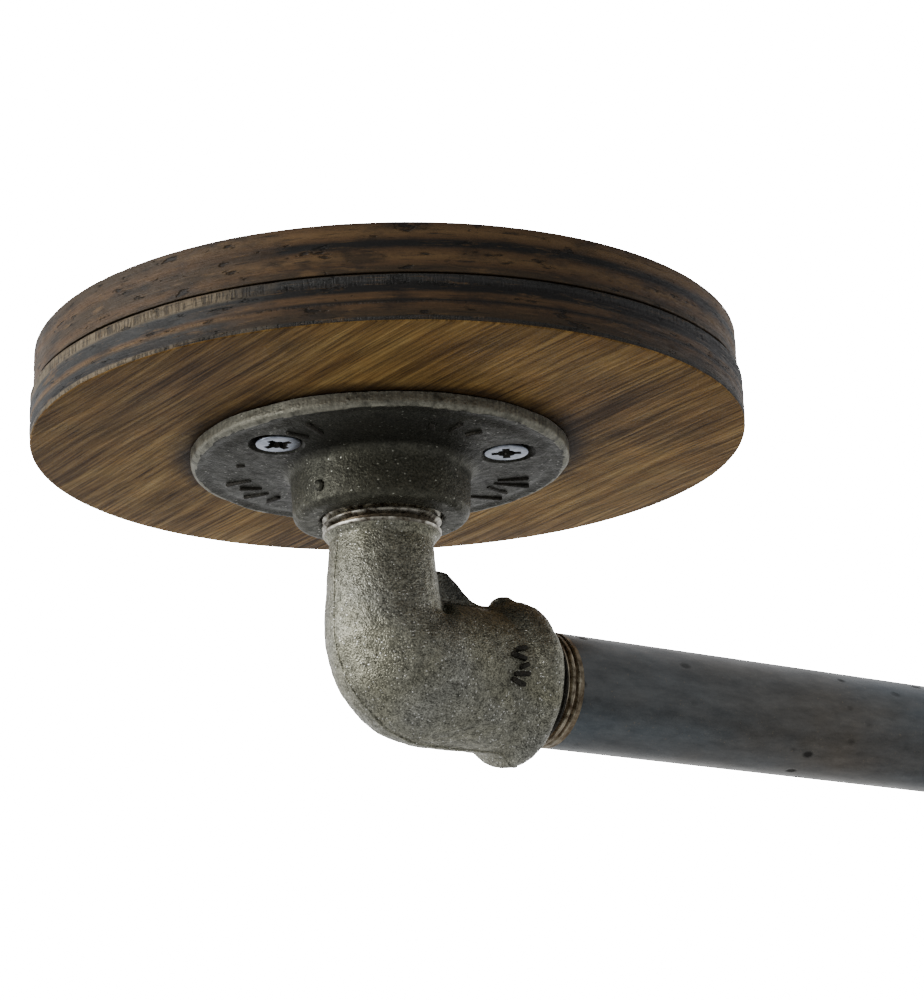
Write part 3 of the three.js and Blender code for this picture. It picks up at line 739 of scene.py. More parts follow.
thread_steel = make_cut_metal(
    "thread steel", (0.20, 0.175, 0.13), (0.06, 0.05, 0.036), 0.30, 900.0, (1, 1, 2), 0.45,
    (0.80, 0.78, 0.68))
thread_rust = make_cut_metal(
    "rusty thread", (0.40, 0.35, 0.25), (0.13, 0.10, 0.065), 0.34, 500.0, (1, 1, 1), 0.6,
    (0.60, 0.56, 0.44))
zinc = make_cut_metal(
    "zinc plate", (0.52, 0.57, 0.66), (0.36, 0.40, 0.48), 0.30, 700.0, (1, 1, 1), 0.06)
bronze = make_cut_metal(
    "dull bronze", (0.50, 0.33, 0.15), (0.30, 0.19, 0.085), 0.34, 1200.0, (6, 1, 1), 0.5)


# %% Mill scale
def make_mill_steel():
    """Black pipe: smooth blue-grey mill scale, worn brown in patches, finely pitted."""
    material, tree, shader, place = new_finish("mill scale", Metallic=0.85)
    stain = use_group(tree, stains, Place=scaled(tree, place, (0.45, 1, 1)), Size=26.0)
    fine = cloud(tree, scaled(tree, place, (0.3, 1, 1)), 420.0, 5.0, 0.7)
    blue = blend(tree, spread(tree, fine, 0.3, 0.7), (0.085, 0.102, 0.116),
                 (0.150, 0.172, 0.186))
    brown = blend(tree, spread(tree, fine, 0.3, 0.7), (0.112, 0.098, 0.080),
                  (0.190, 0.168, 0.142))
    colour = blend(tree, stain["Slow"], blue, brown)
    cells = add(tree, "TexVoronoi", {"Vector": scaled(tree, place, (0.6, 1, 1)),
                                     "Scale": 300.0, "Randomness": 1.0})
    pick = add(tree, "SeparateColor", {0: cells.outputs["Color"]}).outputs[0]
    crowd = spread(tree, cloud(tree, place, 30.0, 2.0), 0.45, 0.62)
    few = maths(tree, "GREATER_THAN", pick, 0.72)
    pit = spread(tree, cells.outputs["Distance"], 0.18, 0.36, 1.0, 0.0)
    pit = maths(tree, "MULTIPLY", maths(tree, "MULTIPLY", pit, few), crowd)
    colour = blend(tree, maths(tree, "MULTIPLY", pit, 0.85), colour, (0.016, 0.015, 0.015))
    specks = spread(tree, cloud(tree, place, 1500.0, 2.0, 0.5), 0.68, 0.74)
    colour = blend(tree, maths(tree, "MULTIPLY", specks, 0.5), colour, (0.30, 0.25, 0.18))
    rough = maths(tree, "MULTIPLY_ADD", stain["Smudge"], 0.12, 0.30)
    rough = maths(tree, "MULTIPLY_ADD", pit, 0.3, rough)
    relief = maths(tree, "SUBTRACT", maths(tree, "MULTIPLY", fine, 0.25), pit)
    wire(tree, shader, Base_Color=colour, Roughness=rough,
         Normal=bumped(tree, relief, 0.00010))
    return material


# %% Oiled bar
def make_black_bar():
    """Flat bar, forged and oiled black, rubbed through to steel on its edges."""
    material, tree, shader, place = new_finish("oiled black bar", Metallic=0.7)
    stain = use_group(tree, stains, Place=place, Size=50.0)
    skin = use_group(tree, cast_skin, Place=place, Grains=700.0, Glints=0.02)
    wear = use_group(tree, worn_edges, Place=place, Reach=0.09)["Wear"]
    colour = blend(tree, stain["Slow"], (0.028, 0.028, 0.030), (0.055, 0.050, 0.046))
    colour = blend(tree, wear, colour, (0.36, 0.35, 0.34))
    rough = maths(tree, "MULTIPLY_ADD", stain["Smudge"], 0.18, 0.36)
    wire(tree, shader, Base_Color=colour, Roughness=rough,
         Normal=bumped(tree, skin["Height"], 0.00007))
    return material


mill_steel = make_mill_steel()
black_bar = make_black_bar()
print("made", mill_steel.name, black_bar.name)

# %% [markdown]
# ## Plywood discs
# A disc is a turned blank: a profile with rows of points up its edge, spun round. The
# rows are there so that the plies can be pushed in and out a little, since end grain
# sands lower than long grain, and so that the edge can waver and take a few nicks.
# Bump alone would leave a perfectly straight outline, which gives a model away.

# %% Disc profile and weathered edge
OUTER_ROUND = 0.6 * MM
SEAM_ROUND = 0.2 * MM
EDGE_ROWS = 26
DISC_STEPS = 600
PLY_COUNT = 5
NICKS = ((188, -0.2, 0.9), (232, -0.2, 0.6), (263, -19.9, 0.8), (205, -9.6, 0.9),
         (301, -20.0, 0.7), (196, -5.6, 0.7), (171, -19.8, 0.8), (286, -0.1, 0.7),
         (20, -0.2, 0.8), (95, -20.0, 0.9), (132, -0.3, 0.7))


def disc_profile(radius, low, high, low_round, high_round):
    rows = [low + low_round + (high - high_round - low - low_round) * i / EDGE_ROWS
            for i in range(1, EDGE_ROWS)]
    return [
        (0, low), (radius * 0.5, low), (radius * 0.8, low),
        *arc(radius - low_round, low + low_round, low_round, -90, 0, 5),
        *[(radius, z) for z in rows],
        *arc(radius - high_round, high - high_round, high_round, 0, 90, 5),
        (radius * 0.8, high), (radius * 0.5, high), (0, high),
    ]


def weather_edge(bm, radius, low, high, seed):
    """Waves, ply steps and nicks on the edge of a disc."""
    thickness = high - low
    for vert in bm.verts:
        flat = Vector((vert.co.x, vert.co.y, 0))
        if flat.length < radius - 1.4 * MM:
            continue
        out = flat.normalized()
        depth = (vert.co.z - low) / thickness
        share = out.x * out.x
        wave = 0.16 * MM * noise.noise(out * 2.2 + Vector((seed, 0, 0)))
        ripple = 0.05 * MM * noise.noise(Vector((out.x * 14, out.y * 14, depth * 9 + seed)))
        torn = noise.noise(Vector((out.x * 16, out.y * 16, depth * 11 - seed)))
        ripple -= 0.5 * MM * max(0.0, torn - 0.42)
        ply = math.sin(depth * PLY_COUNT * TURN / 2 + math.pi * (share > 0.5))
        vert.co += out * (wave + ripple + 0.045 * MM * ply)
        for degrees, height, size in NICKS:
            angle = math.radians(degrees)
            spot = Vector((math.cos(angle), math.sin(angle), 0)) * radius
            spot.z = height * MM
            near = (vert.co - spot).length / (size * MM)
            if near < 1:
                vert.co -= out * 0.45 * MM * (1 - near) ** 2


# %% [markdown]
# The two discs were sawn apart and don't share a middle, yet their edges meet in one
# hairline seam, because the pair was sanded as one. The ceiling disc's edge is sloped
# in towards the seam by as much as it would stand out there.

# %% Disc blanks
def disc_place(node):
    low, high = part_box(node)
    return (low + high) / 2, (high.x - low.x) / 2


ceiling_middle, ceiling_radius = disc_place("left_ceiling_disc")
face_middle, face_radius = disc_place("left_face_disc")


def overhang(out):
    """How far the ceiling disc stands out past the face disc in a direction."""
    reach = ceiling_middle.dot(out) + ceiling_radius
    return max(0.0, reach - face_middle.dot(out) - face_radius)


def sand_flush(bm, radius, low, high):
    """Slopes the ceiling disc's edge in, so that it meets the face disc at the seam."""
    for vert in bm.verts:
        flat = Vector((vert.co.x, vert.co.y, 0))
        if flat.length > radius - 1.4 * MM:
            out = flat.normalized()
            vert.co -= out * overhang(out) * (high - vert.co.z) / (high - low)


def make_disc(node, seed, outer_face_up):
    """The disc in the left mount's own frame, its middle where the frame has it."""
    low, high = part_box(node)
    middle = (low + high) / 2
    radius = (high.x - low.x) / 2
    rounds = (SEAM_ROUND, OUTER_ROUND) if outer_face_up else (OUTER_ROUND, SEAM_ROUND)
    bm = spun(disc_profile(radius, low.z, high.z, *rounds), "Z", DISC_STEPS)
    if outer_face_up:
        sand_flush(bm, radius, low.z, high.z)
    weather_edge(bm, radius, low.z, high.z, seed)
    paint_faces(bm, 1, lambda f: abs(f.normal.z) < 0.7
                and f.calc_center_median().xy.length > radius * 0.9)
    bmesh.ops.translate(bm, vec=(middle.x, middle.y, 0), verts=bm.verts)
    return bm, middle, radius


# %% [markdown]
# The ceiling disc is screwed up first, through three countersunk holes that the second
# disc then hides. Both discs are drilled for the flange's screws. These holes are
# cut with the Boolean modifier, since they lie off the disc's axis.

# %% Drilled discs
INSTALLER_CIRCLE = 56 * MM
INSTALLER_HOLE = 2.5 * MM
INSTALLER_HEAD = 5 * MM
INSTALLER_FIRST = math.radians(15)
PILOT_RADIUS = 2.6 * MM
PILOT_TOP = -3.4 * MM


def installer_holes(bottom):
    sink = INSTALLER_HEAD - INSTALLER_HOLE
    tools = []
    for i in range(3):
        angle = INSTALLER_FIRST + TURN * i / 3
        tool = spun([(0, bottom - MM), (INSTALLER_HEAD, bottom - MM),
                     (INSTALLER_HEAD, bottom), (INSTALLER_HOLE, bottom + sink),
                     (INSTALLER_HOLE, MM), (0, MM)], "Z", 40)
        place = (INSTALLER_CIRCLE * math.cos(angle), INSTALLER_CIRCLE * math.sin(angle), 0)
        bmesh.ops.translate(tool, vec=place, verts=tool.verts)
        tools.append(tool)
    return tools


def pilot_holes(low, high):
    tools = []
    for i in range(1, 4):
        box_low, box_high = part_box(f"left_flange_screw_{i}")
        tool = rod(PILOT_RADIUS, low, high, "Z", 24)
        centre = (box_low + box_high) / 2
        bmesh.ops.translate(tool, vec=(centre.x, centre.y, 0), verts=tool.verts)
        tools.append(tool)
    return tools


def make_discs():
    shapes = {}
    bm, middle, radius = make_disc("left_ceiling_disc", 3.0, True)
    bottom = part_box("left_ceiling_disc")[0].z
    holes = merged(*installer_holes(bottom), *pilot_holes(bottom - MM, PILOT_TOP))
    shapes["ceiling_disc"] = (combined(bm, holes), middle)
    bm, middle, radius = make_disc("left_face_disc", 8.0, False)
    low, high = (corner.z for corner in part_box("left_face_disc"))
    holes = merged(*pilot_holes(low - MM, high + MM))
    shapes["face_disc"] = (combined(bm, holes), middle)
    return shapes


disc_shapes = make_discs()

# %% Both pairs of discs
for side in SIDES:
    for kind, (bm, middle) in disc_shapes.items():
        place = mount_place[side]
        disc = finished(f"{side}_plywood_{kind}", moved(bm, place), "rail_frame",
                        f"{side}_{kind}", [veneer, ply_edge])
        centre = place @ middle
        attribute(disc, "end_grain", lambda co, c=centre:
                  (co.x - c.x) ** 2 / max((co.x - c.x) ** 2 + (co.y - c.y) ** 2, 1e-9))
for bm, middle in disc_shapes.values():
    bm.free()

# %% [markdown]
# ## Floor flange
# A cast plate that thickens towards a tall hub, with a threaded bore and three
# countersunk holes. It is one spun profile, with generous fillets because sand moulds
# can't hold sharp corners. The founder's raised marks are left as plain bars and pips.

# %% Flange casting
FLANGE_RIM = 3.2 * MM
FLANGE_RISE = 0.9 * MM
HUB_TIP = 19.8 * MM
HUB_ROOT = 20.3 * MM
HUB_FILLET = 2.6 * MM
CAST_ROUND = 1.3 * MM
HUB_ROUND = 2.0 * MM
BORE_ROOM = 0.3 * MM
MOUTH_CHAMFER = 0.7 * MM
HOLE_CIRCLE = 30.2 * MM
HOLE_MOUTH = 6.3 * MM
HOLE_THROAT = 3.9 * MM
HOLE_DEPTH = 2.8 * MM
HOLE_FIRST = math.radians(187.5)

flange_radius = flange_high.x
flange_top = flange_high.z
hub_bottom = flange_low.z
rim_bottom = flange_top - FLANGE_RIM
plate_at_hub = rim_bottom - FLANGE_RISE


def plate_height(radius):
    """Height of the sloping face of the flange at a radius."""
    share = (flange_radius - radius) / (flange_radius - HUB_ROOT)
    return rim_bottom - FLANGE_RISE * share


def rim_hollow(radius):
    """A shallow hollow just inside the rim leaves a soft lip round the plate."""
    from_lip = (flange_radius - 3.6 * MM - radius) / (1.7 * MM)
    return 0.45 * MM * math.exp(-from_lip * from_lip)


def make_flange_blank():
    bore = pipe_radius + BORE_ROOM
    fillet = arc(HUB_ROOT + HUB_FILLET, plate_at_hub - HUB_FILLET, HUB_FILLET, 180, 96, 7)
    first, last = HUB_ROOT + HUB_FILLET, flange_radius - CAST_ROUND
    radii = [first + (last - first) * i / 24 for i in range(1, 24)]
    plate = [(r, plate_height(r) + rim_hollow(r)) for r in radii]
    hub = [(HUB_TIP + (HUB_ROOT - HUB_TIP) * i / 8,
            hub_bottom + HUB_ROUND + (plate_at_hub - HUB_FILLET - hub_bottom - HUB_ROUND)
            * i / 8) for i in range(1, 8)]
    profile = [
        (bore + MOUTH_CHAMFER, hub_bottom),
        *arc(HUB_TIP - HUB_ROUND, hub_bottom + HUB_ROUND, HUB_ROUND, -90, 0, 7),
        *hub, *fillet, *plate,
        *arc(flange_radius - CAST_ROUND, rim_bottom + CAST_ROUND, CAST_ROUND, -90, 0, 5),
        *[(flange_radius, rim_bottom + CAST_ROUND + (flange_top - rim_bottom - CAST_ROUND)
           * i / 4) for i in range(1, 5)],
        (bore, flange_top), (bore, hub_bottom + MOUTH_CHAMFER),
    ]
    bm = spun(profile, "Z", 240, ring=True)
    machined = pipe_radius + BORE_ROOM + 0.2 * MM
    paint_faces(bm, 1, lambda f: f.calc_center_median().xy.length < machined)
    outside = lambda co: 1.0 if co.xy.length > machined + MOUTH_CHAMFER else 0.0
    roughen(bm, 9 * MM, 0.22 * MM, 5, outside)
    roughen(bm, 1.6 * MM, 0.07 * MM, 6, outside)
    return bm


def make_flange_holes():
    tools = []
    slope = (HOLE_MOUTH - HOLE_THROAT) / HOLE_DEPTH
    for i in range(3):
        face = plate_height(HOLE_CIRCLE)
        tool = spun([(0, face - MM), (HOLE_MOUTH + slope * MM, face - MM),
                     (HOLE_THROAT, face + HOLE_DEPTH), (HOLE_THROAT, flange_top + MM),
                     (0, flange_top + MM)], "Z", 48)
        angle = HOLE_FIRST + TURN * i / 3
        place = (HOLE_CIRCLE * math.cos(angle), HOLE_CIRCLE * math.sin(angle), 0)
        bmesh.ops.translate(tool, vec=place, verts=tool.verts)
        tools.append(tool)
    return merged(*tools)


# %% Raised casting marks
def raised_bar(length, width, height):
    bm = bmesh.new()
    bmesh.ops.create_cube(bm, size=1)
    bmesh.ops.scale(bm, vec=(length, width, height), verts=bm.verts)
    return soften(bm, 0.3 * min(width, height), 2, 60)


MARK_RADIUS = 32.2 * MM
MARK_HEIGHT = 1.1 * MM
MARK_SPREADS = ((206, (-4, 5), 7.0), (262, (-5, 4, 14), 5.0), (352, (-9, -2, 6, 17), 9.0),
                (125, (-17, -8, 1, 10), 6.5), (157, (0,), 2.4))


def make_flange_marks():
    """Plain bars in a few loose groups, with a pip on the hub."""
    marks = []
    for middle, offsets, longest in MARK_SPREADS:
        for i, offset in enumerate(offsets):
            angle = math.radians(middle + offset)
            length = longest * (1.0 if i % 2 else 0.8) * MM
            bar = raised_bar(length, 1.2 * MM, MARK_HEIGHT)
            lean = Matrix.Rotation(angle + 0.35 * ((i % 3) - 1), 4, "Z")
            radius = MARK_RADIUS + (0.6 * MM if i % 2 else -0.6 * MM)
            place = Matrix.Translation((radius * math.cos(angle), radius * math.sin(angle),
                                        plate_height(radius)))
            bmesh.ops.transform(bar, matrix=place @ lean, verts=bar.verts)
            # The bars take the dark iron, painted shade for the shadow round raised marks, with
            # some dirt.
            marks.append(paint_faces(bar, 2))
    pip = bmesh.new()
    bmesh.ops.create_icosphere(pip, subdivisions=3, radius=1.3 * MM)
    bmesh.ops.scale(pip, vec=(0.6, 1, 1), verts=pip.verts)
    angle = math.radians(194)
    bmesh.ops.transform(pip, verts=pip.verts, matrix=Matrix.Translation(
        (HUB_ROOT * math.cos(angle), HUB_ROOT * math.sin(angle), hub_bottom + 4.2 * MM))
        @ Matrix.Rotation(angle, 4, "Z"))
    return merged(*marks, pip)


def make_flange():
    bm = combined(make_flange_blank(), make_flange_marks(), "UNION")
    return combined(bm, make_flange_holes())


flange_shape = make_flange()
print("flange casting:", len(flange_shape.faces), "faces")


# %% Both flanges
def filed_and_lit_rim(co):
    """How much the rim wall is lightened, in the mount's own frame: most on the left, where it
    is filed, and all round as painted light.
    """
    if co.xy.length < flange_radius - CAST_ROUND:
        return 0.0
    angle = math.degrees(math.atan2(co.y, co.x)) % 360
    filed = max(0.0, min(1.0, 2.6 - abs(angle - 196) / 16))
    return max(filed if co.z > rim_bottom + 0.6 * MM else 0.0, 0.62)


for side in SIDES:
    place = mount_place[side]
    flange = finished(f"{side}_flange_casting", moved(flange_shape, place), "rail_frame",
                      f"{side}_floor_flange",
                      [flange_iron, thread_steel, dirt_and_shade_iron])
    home = place.inverted()
    attribute(flange, "filed_and_lit", lambda co, h=home: filed_and_lit_rim(h @ co))
flange_shape.free()

# %% [markdown]
# ## Flange screws
# Flat-head wood screws, bright zinc, each a turned head and shank with a helical thread
# laid on it. The cross recess is two tapered blades cut out one after the other.

# %% Screws
SCREW_HEAD = 4.9 * MM
SCREW_HEAD_HEIGHT = 2.8 * MM
SCREW_SHANK = 1.6 * MM
SCREW_THREAD = 2.25 * MM
SCREW_LENGTH = 20 * MM
RECESS_SPAN = 6.6 * MM
RECESS_SLOT = 1.65 * MM
RECESS_CORE = 2.1 * MM
RECESS_DEPTH = 2.4 * MM
SCREW_TURNS_DEG = (24, 52, 75)


def recess_blade(angle):
    """One arm pair of the cross: full width at the head's face, narrow at its foot."""
    blade = bmesh.new()
    bmesh.ops.create_cube(blade, size=1)
    for vert in blade.verts:
        deep = vert.co.z > 0
        vert.co.x *= RECESS_SPAN * (0.5 if deep else 1.25)
        vert.co.y *= RECESS_SLOT * (0.7 if deep else 1.15)
        vert.co.z = RECESS_DEPTH if deep else -RECESS_DEPTH / 2
    bmesh.ops.rotate(blade, cent=(0, 0, 0), verts=blade.verts,
                     matrix=Matrix.Rotation(angle, 3, "Z"))
    # The blade's faces paint the recess with the dark iron, as painted shade with dirt.
    return paint_faces(blade, 1)


def make_screw():
    head = spun([
        (0, 0.05 * MM), (SCREW_HEAD * 0.7, 0),
        *arc(SCREW_HEAD - 0.2 * MM, 0.2 * MM, 0.2 * MM, -90, 0, 3),
        (SCREW_HEAD, 0.45 * MM), (SCREW_SHANK + 0.3 * MM, SCREW_HEAD_HEIGHT),
        (SCREW_SHANK, SCREW_HEAD_HEIGHT + 0.6 * MM), (SCREW_SHANK, SCREW_LENGTH - 4 * MM),
        (0, SCREW_LENGTH),
    ], "Z", 72)
    for angle in (0, math.pi / 2):
        head = combined(head, recess_blade(angle))
    core = spun([(0, -RECESS_DEPTH / 2), (RECESS_CORE * 1.3, -RECESS_DEPTH / 2),
                 (RECESS_CORE * 0.55, RECESS_DEPTH), (0, RECESS_DEPTH)], "Z", 8)
    # The core's faces take the dark iron too, as painted shade with dirt.
    head = combined(head, paint_faces(core, 1))
    ridge = thread(SCREW_THREAD, 0.75 * MM, 2.1 * MM, SCREW_HEAD_HEIGHT + 2 * MM,
                   SCREW_LENGTH - 4 * MM, steps=28, crest=0.1)
    return merged(head, ridge)


screw_shape = make_screw()
print("screw:", len(screw_shape.faces), "faces")

# %% All six screws
for side in SIDES:
    for i, turn in enumerate(SCREW_TURNS_DEG, start=1):
        low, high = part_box(f"{side}_flange_screw_{i}")
        middle = (low + high) / 2
        place = Matrix.Translation((middle.x, middle.y, low.z))
        place = place @ Matrix.Rotation(math.radians(turn), 4, "Z")
        finished(f"{side}_wood_screw_{i}", moved(screw_shape, place), "rail_frame",
                 f"{side}_flange_screw_{i}", [zinc, dirt_and_shade_iron])
screw_shape.free()

# %% [markdown]
# ## Street elbow
# One casting: a threaded neck that swells into a bend, a thick band round the socket,
# and a web across the inside of the bend. The pieces are made as overlapping closed
# shapes and then remeshed in small voxels, which melts them into one skin with the
# soft hollows of a real casting. The bore, the socket and the threads are machined,
# so they are cut and added afterwards, and stay crisp.

# %% Elbow body
NECK_SHOULDER = 1.0 * MM
GIRTHS = ((0, 11.6), (5, 12.1), (11, 12.6), (16.8, 13.1), (21.5, 14.2), (26, 15.5),
          (30.5, 16.35), (35.6, 16.25), (60, 16.1))
LEANS_OUT = ((0, 0.25), (5, 0.4), (11, 0.45), (16.8, 0.35), (26, 0.1), (35, 0), (60, 0))
BELLY_RADIUS = 16.1 * MM
BEND_RADIUS = 12 * MM
BAND_RADIUS = 18.95 * MM
BAND_LENGTH = 7.1 * MM
BAND_SLANT = 2.4 * MM
THREAD_LENGTH = 18 * MM
THREAD_PITCH = 1.814 * MM
THREAD_DEPTH = 1.1 * MM
VOXEL = 0.5 * MM

elbow_face = elbow_high.x
male_end = elbow_high.z - rail_z
thread_end = male_end - THREAD_LENGTH
neck_top = thread_end - NECK_SHOULDER


def elbow_station(start, distance):
    """Place and heading on the elbow's centre line, from where its axes cross."""
    down = start - BEND_RADIUS
    bend = math.pi / 2 * BEND_RADIUS
    if distance <= down:
        return Vector((0, 0, start - distance)), 0.0
    if distance >= down + bend:
        return Vector((BEND_RADIUS + distance - down - bend, 0, 0)), math.pi / 2
    angle = (distance - down) / BEND_RADIUS
    return Vector((BEND_RADIUS * (1 - math.cos(angle)), 0,
                   BEND_RADIUS * (1 - math.sin(angle)))), angle


# %% Elbow tube
def elbow_tube(start, end, radius_at, shift_at, rings, sides):
    """A closed tube along the centre line, free to change in radius and to lean out."""
    length = start - BEND_RADIUS + math.pi / 2 * BEND_RADIUS + end - BEND_RADIUS
    bm = bmesh.new()
    bmesh.ops.create_cone(bm, cap_ends=True, cap_tris=True, segments=sides,
                          radius1=1, radius2=1, depth=1)
    upright = [e for e in bm.edges if abs(e.verts[0].co.z - e.verts[1].co.z) > 0.5]
    bmesh.ops.subdivide_edges(bm, edges=upright, cuts=rings)
    for vert in bm.verts:
        distance = (0.5 - vert.co.z) * length
        middle, angle = elbow_station(start, distance)
        out = vert.co.x * radius_at(distance) - shift_at(distance)
        side = vert.co.y * radius_at(distance)
        vert.co = middle + Vector((out * math.cos(angle), side, out * math.sin(angle)))
    return bm


def smooth_step(value, low, high):
    share = max(0.0, min(1.0, (value - low) / (high - low)))
    return share * share * (3 - 2 * share)


def between(table, distance):
    """Smoothly reads a table of (distance, value), both in millimetres."""
    place = distance / MM
    for (near, first), (far, last) in zip(table, table[1:]):
        if place <= far:
            share = smooth_step(place, near, far) * 0.5 + 0.5 * (place - near) / (far - near)
            return (first + (last - first) * max(share, 0.0)) * MM
    return table[-1][1] * MM


def body_radius(distance):
    return between(GIRTHS, distance)


def body_shift(distance):
    return between(LEANS_OUT, distance)


# %% Rib, band and melted casting
RIB_HALF = 2.9 * MM
RIB_OUTLINE = ((0, 18.5), (9.5, 23.4), (13, 23.7), (15.8, 23.5), (17.8, 21.9), (20.3, 19.5),
               (22.3, 17.7), (24.6, 17.1), (28, 17.4), (29.5, 12), (29.5, 0), (12, 0))


def make_rib():
    """A web across the inside of the bend, as an outline pulled out sideways."""
    bm = bmesh.new()
    face = bm.faces.new([bm.verts.new((x * MM, -RIB_HALF, z * MM)) for x, z in RIB_OUTLINE])
    pulled = bmesh.ops.extrude_face_region(bm, geom=[face])["geom"]
    verts = [v for v in pulled if isinstance(v, bmesh.types.BMVert)]
    bmesh.ops.translate(bm, vec=(0, 2 * RIB_HALF, 0), verts=verts)
    bmesh.ops.recalc_face_normals(bm, faces=bm.faces)
    return bm


def make_band():
    """The socket's band. Its inner shoulder slants, as it starts sooner over the web."""
    start = elbow_face - BAND_LENGTH
    crown = BAND_RADIUS
    bm = spun([
        (0, start - 1.6 * MM), (BELLY_RADIUS - 0.6 * MM, start - 1.6 * MM),
        (BELLY_RADIUS + 0.8 * MM, start), (crown - 0.8 * MM, start + 1.6 * MM),
        (crown, start + 3.2 * MM), (crown, elbow_face - 2.6 * MM),
        (crown - 0.35 * MM, elbow_face - 1.2 * MM), (crown - 1.2 * MM, elbow_face - 0.2 * MM),
        (crown - 1.4 * MM, elbow_face), (0, elbow_face),
    ], "X", 96)
    for vert in bm.verts:
        share = 1 - smooth_step(vert.co.x, start, elbow_face - 3 * MM)
        vert.co.x -= BAND_SLANT * share * vert.co.z / crown
    return bm


def make_cast_boss(place, size):
    boss = bmesh.new()
    bmesh.ops.create_icosphere(boss, subdivisions=3, radius=1)
    bmesh.ops.scale(boss, vec=size, verts=boss.verts)
    bmesh.ops.translate(boss, vec=place, verts=boss.verts)
    return boss


def remeshed(bm, voxel, smooth_rounds):
    """Melts overlapping closed shapes into one skin and relaxes it."""
    mesh = bpy.data.meshes.new("working")
    bm.to_mesh(mesh)
    bm.free()
    holder = bpy.data.objects.new("working", mesh)
    scene.collection.objects.link(holder)
    melt = holder.modifiers.new("melt", "REMESH")
    melt.mode, melt.voxel_size, melt.adaptivity = "VOXEL", voxel, 0
    result = bmesh.new()
    result.from_object(holder, bpy.context.evaluated_depsgraph_get())
    bpy.data.objects.remove(holder)
    bpy.data.meshes.remove(mesh)
    for _ in range(smooth_rounds):
        bmesh.ops.smooth_vert(result, verts=result.verts, factor=0.5, use_axis_x=True,
                              use_axis_y=True, use_axis_z=True)
    return result


def make_elbow_casting():
    tube = elbow_tube(neck_top + 1.5 * MM, elbow_face - 3 * MM,
                      lambda d: body_radius(d - 1.5 * MM), body_shift, 60, 64)
    boss = make_cast_boss((elbow_face - 4.9 * MM, -1.5 * MM, BAND_RADIUS - 0.2 * MM),
                          (2.4 * MM, 2.8 * MM, 1.2 * MM))
    bm = remeshed(merged(tube, make_band(), make_rib(), boss), VOXEL, 4)
    bmesh.ops.recalc_face_normals(bm, faces=bm.faces)
    skin = lambda co: smooth_step(neck_top + 0.4 * MM - co.z, 0.0, 2.0 * MM)
    roughen(bm, 7 * MM, 0.25 * MM, 11, skin)
    roughen(bm, 1.7 * MM, 0.12 * MM, 12, skin)
    return bm


# %% [markdown]
# Where the two halves of the mould met, a thin ridge runs round the casting. It lies in
# the plane of both axes, so it is a fine tube laid along the outside of the bend and
# half sunk in the skin. Five short raised bars stand where a founder marks the size.

# %% Elbow machining and threads
RIDGE = 0.30 * MM
ELBOW_BORE = 8.75 * MM
SOCKET_ROOM = 0.3 * MM
SOCKET_DEPTH = 14 * MM
RIDGE_STEPS = 120


def make_parting_ridge(casting):
    """A fine tube laid on the casting's own surface, found by looking inwards."""
    tree = BVHTree.FromBMesh(casting)
    last = neck_top - BEND_RADIUS + math.pi / 2 * BEND_RADIUS + elbow_face - BEND_RADIUS
    bm = bmesh.new()
    rings = []
    for i in range(RIDGE_STEPS + 1):
        distance = 0.8 * MM + (last - 2.2 * MM) * i / RIDGE_STEPS
        middle, angle = elbow_station(neck_top, distance)
        out = Vector((-math.cos(angle), 0, -math.sin(angle)))
        sway = Vector((0, 0.3 * MM * noise.noise(Vector((distance / (5 * MM), 0, 4.0))), 0))
        hit = tree.ray_cast(middle + sway + out * 30 * MM, -out)[0]
        thick = RIDGE * (1 + 0.5 * noise.noise(Vector((distance / (1.6 * MM), 3.0, 0))))
        ring = [bm.verts.new(hit + out * (thick * math.cos(TURN * k / 8) - 0.02 * MM)
                             + Vector((0, 1.2 * thick * math.sin(TURN * k / 8), 0)))
                for k in range(8)]
        rings.append([bm.edges.new((ring[k], ring[(k + 1) % 8])) for k in range(8)])
    for first, second in zip(rings, rings[1:]):
        bmesh.ops.bridge_loops(bm, edges=first + second)
    bmesh.ops.holes_fill(bm, edges=[e for e in bm.edges if e.is_boundary], sides=8)
    bmesh.ops.recalc_face_normals(bm, faces=bm.faces)
    return bm


# %% Size marks and the whole elbow
MARKS_FROM_FACE = 11.2 * MM
SIZE_MARKS = ((-14, 3.0, 0.5), (-7, 4.0, -0.5), (0, 2.6, 0.8), (6.5, 4.0, 0.2),
              (13, 3.6, -0.6))


def make_size_marks():
    """Raised bars beside the band, where a founder casts the size."""
    marks = []
    for tilt, length, shift in SIZE_MARKS:
        bar = raised_bar(length * MM, 1.1 * MM, 2.2 * MM)
        turn = Matrix.Rotation(math.radians(90 + tilt), 4, "X")
        out = Matrix.Translation((elbow_face - MARKS_FROM_FACE + shift * MM, 0, BELLY_RADIUS))
        lean = Matrix.Rotation(0.5 * shift, 4, "Z")
        bmesh.ops.transform(bar, matrix=turn @ out @ lean, verts=bar.verts)
        # The bars take the dark iron, painted shade for the shadow round raised marks, with
        # some dirt.
        marks.append(paint_faces(bar, 2))
    return merged(*marks)


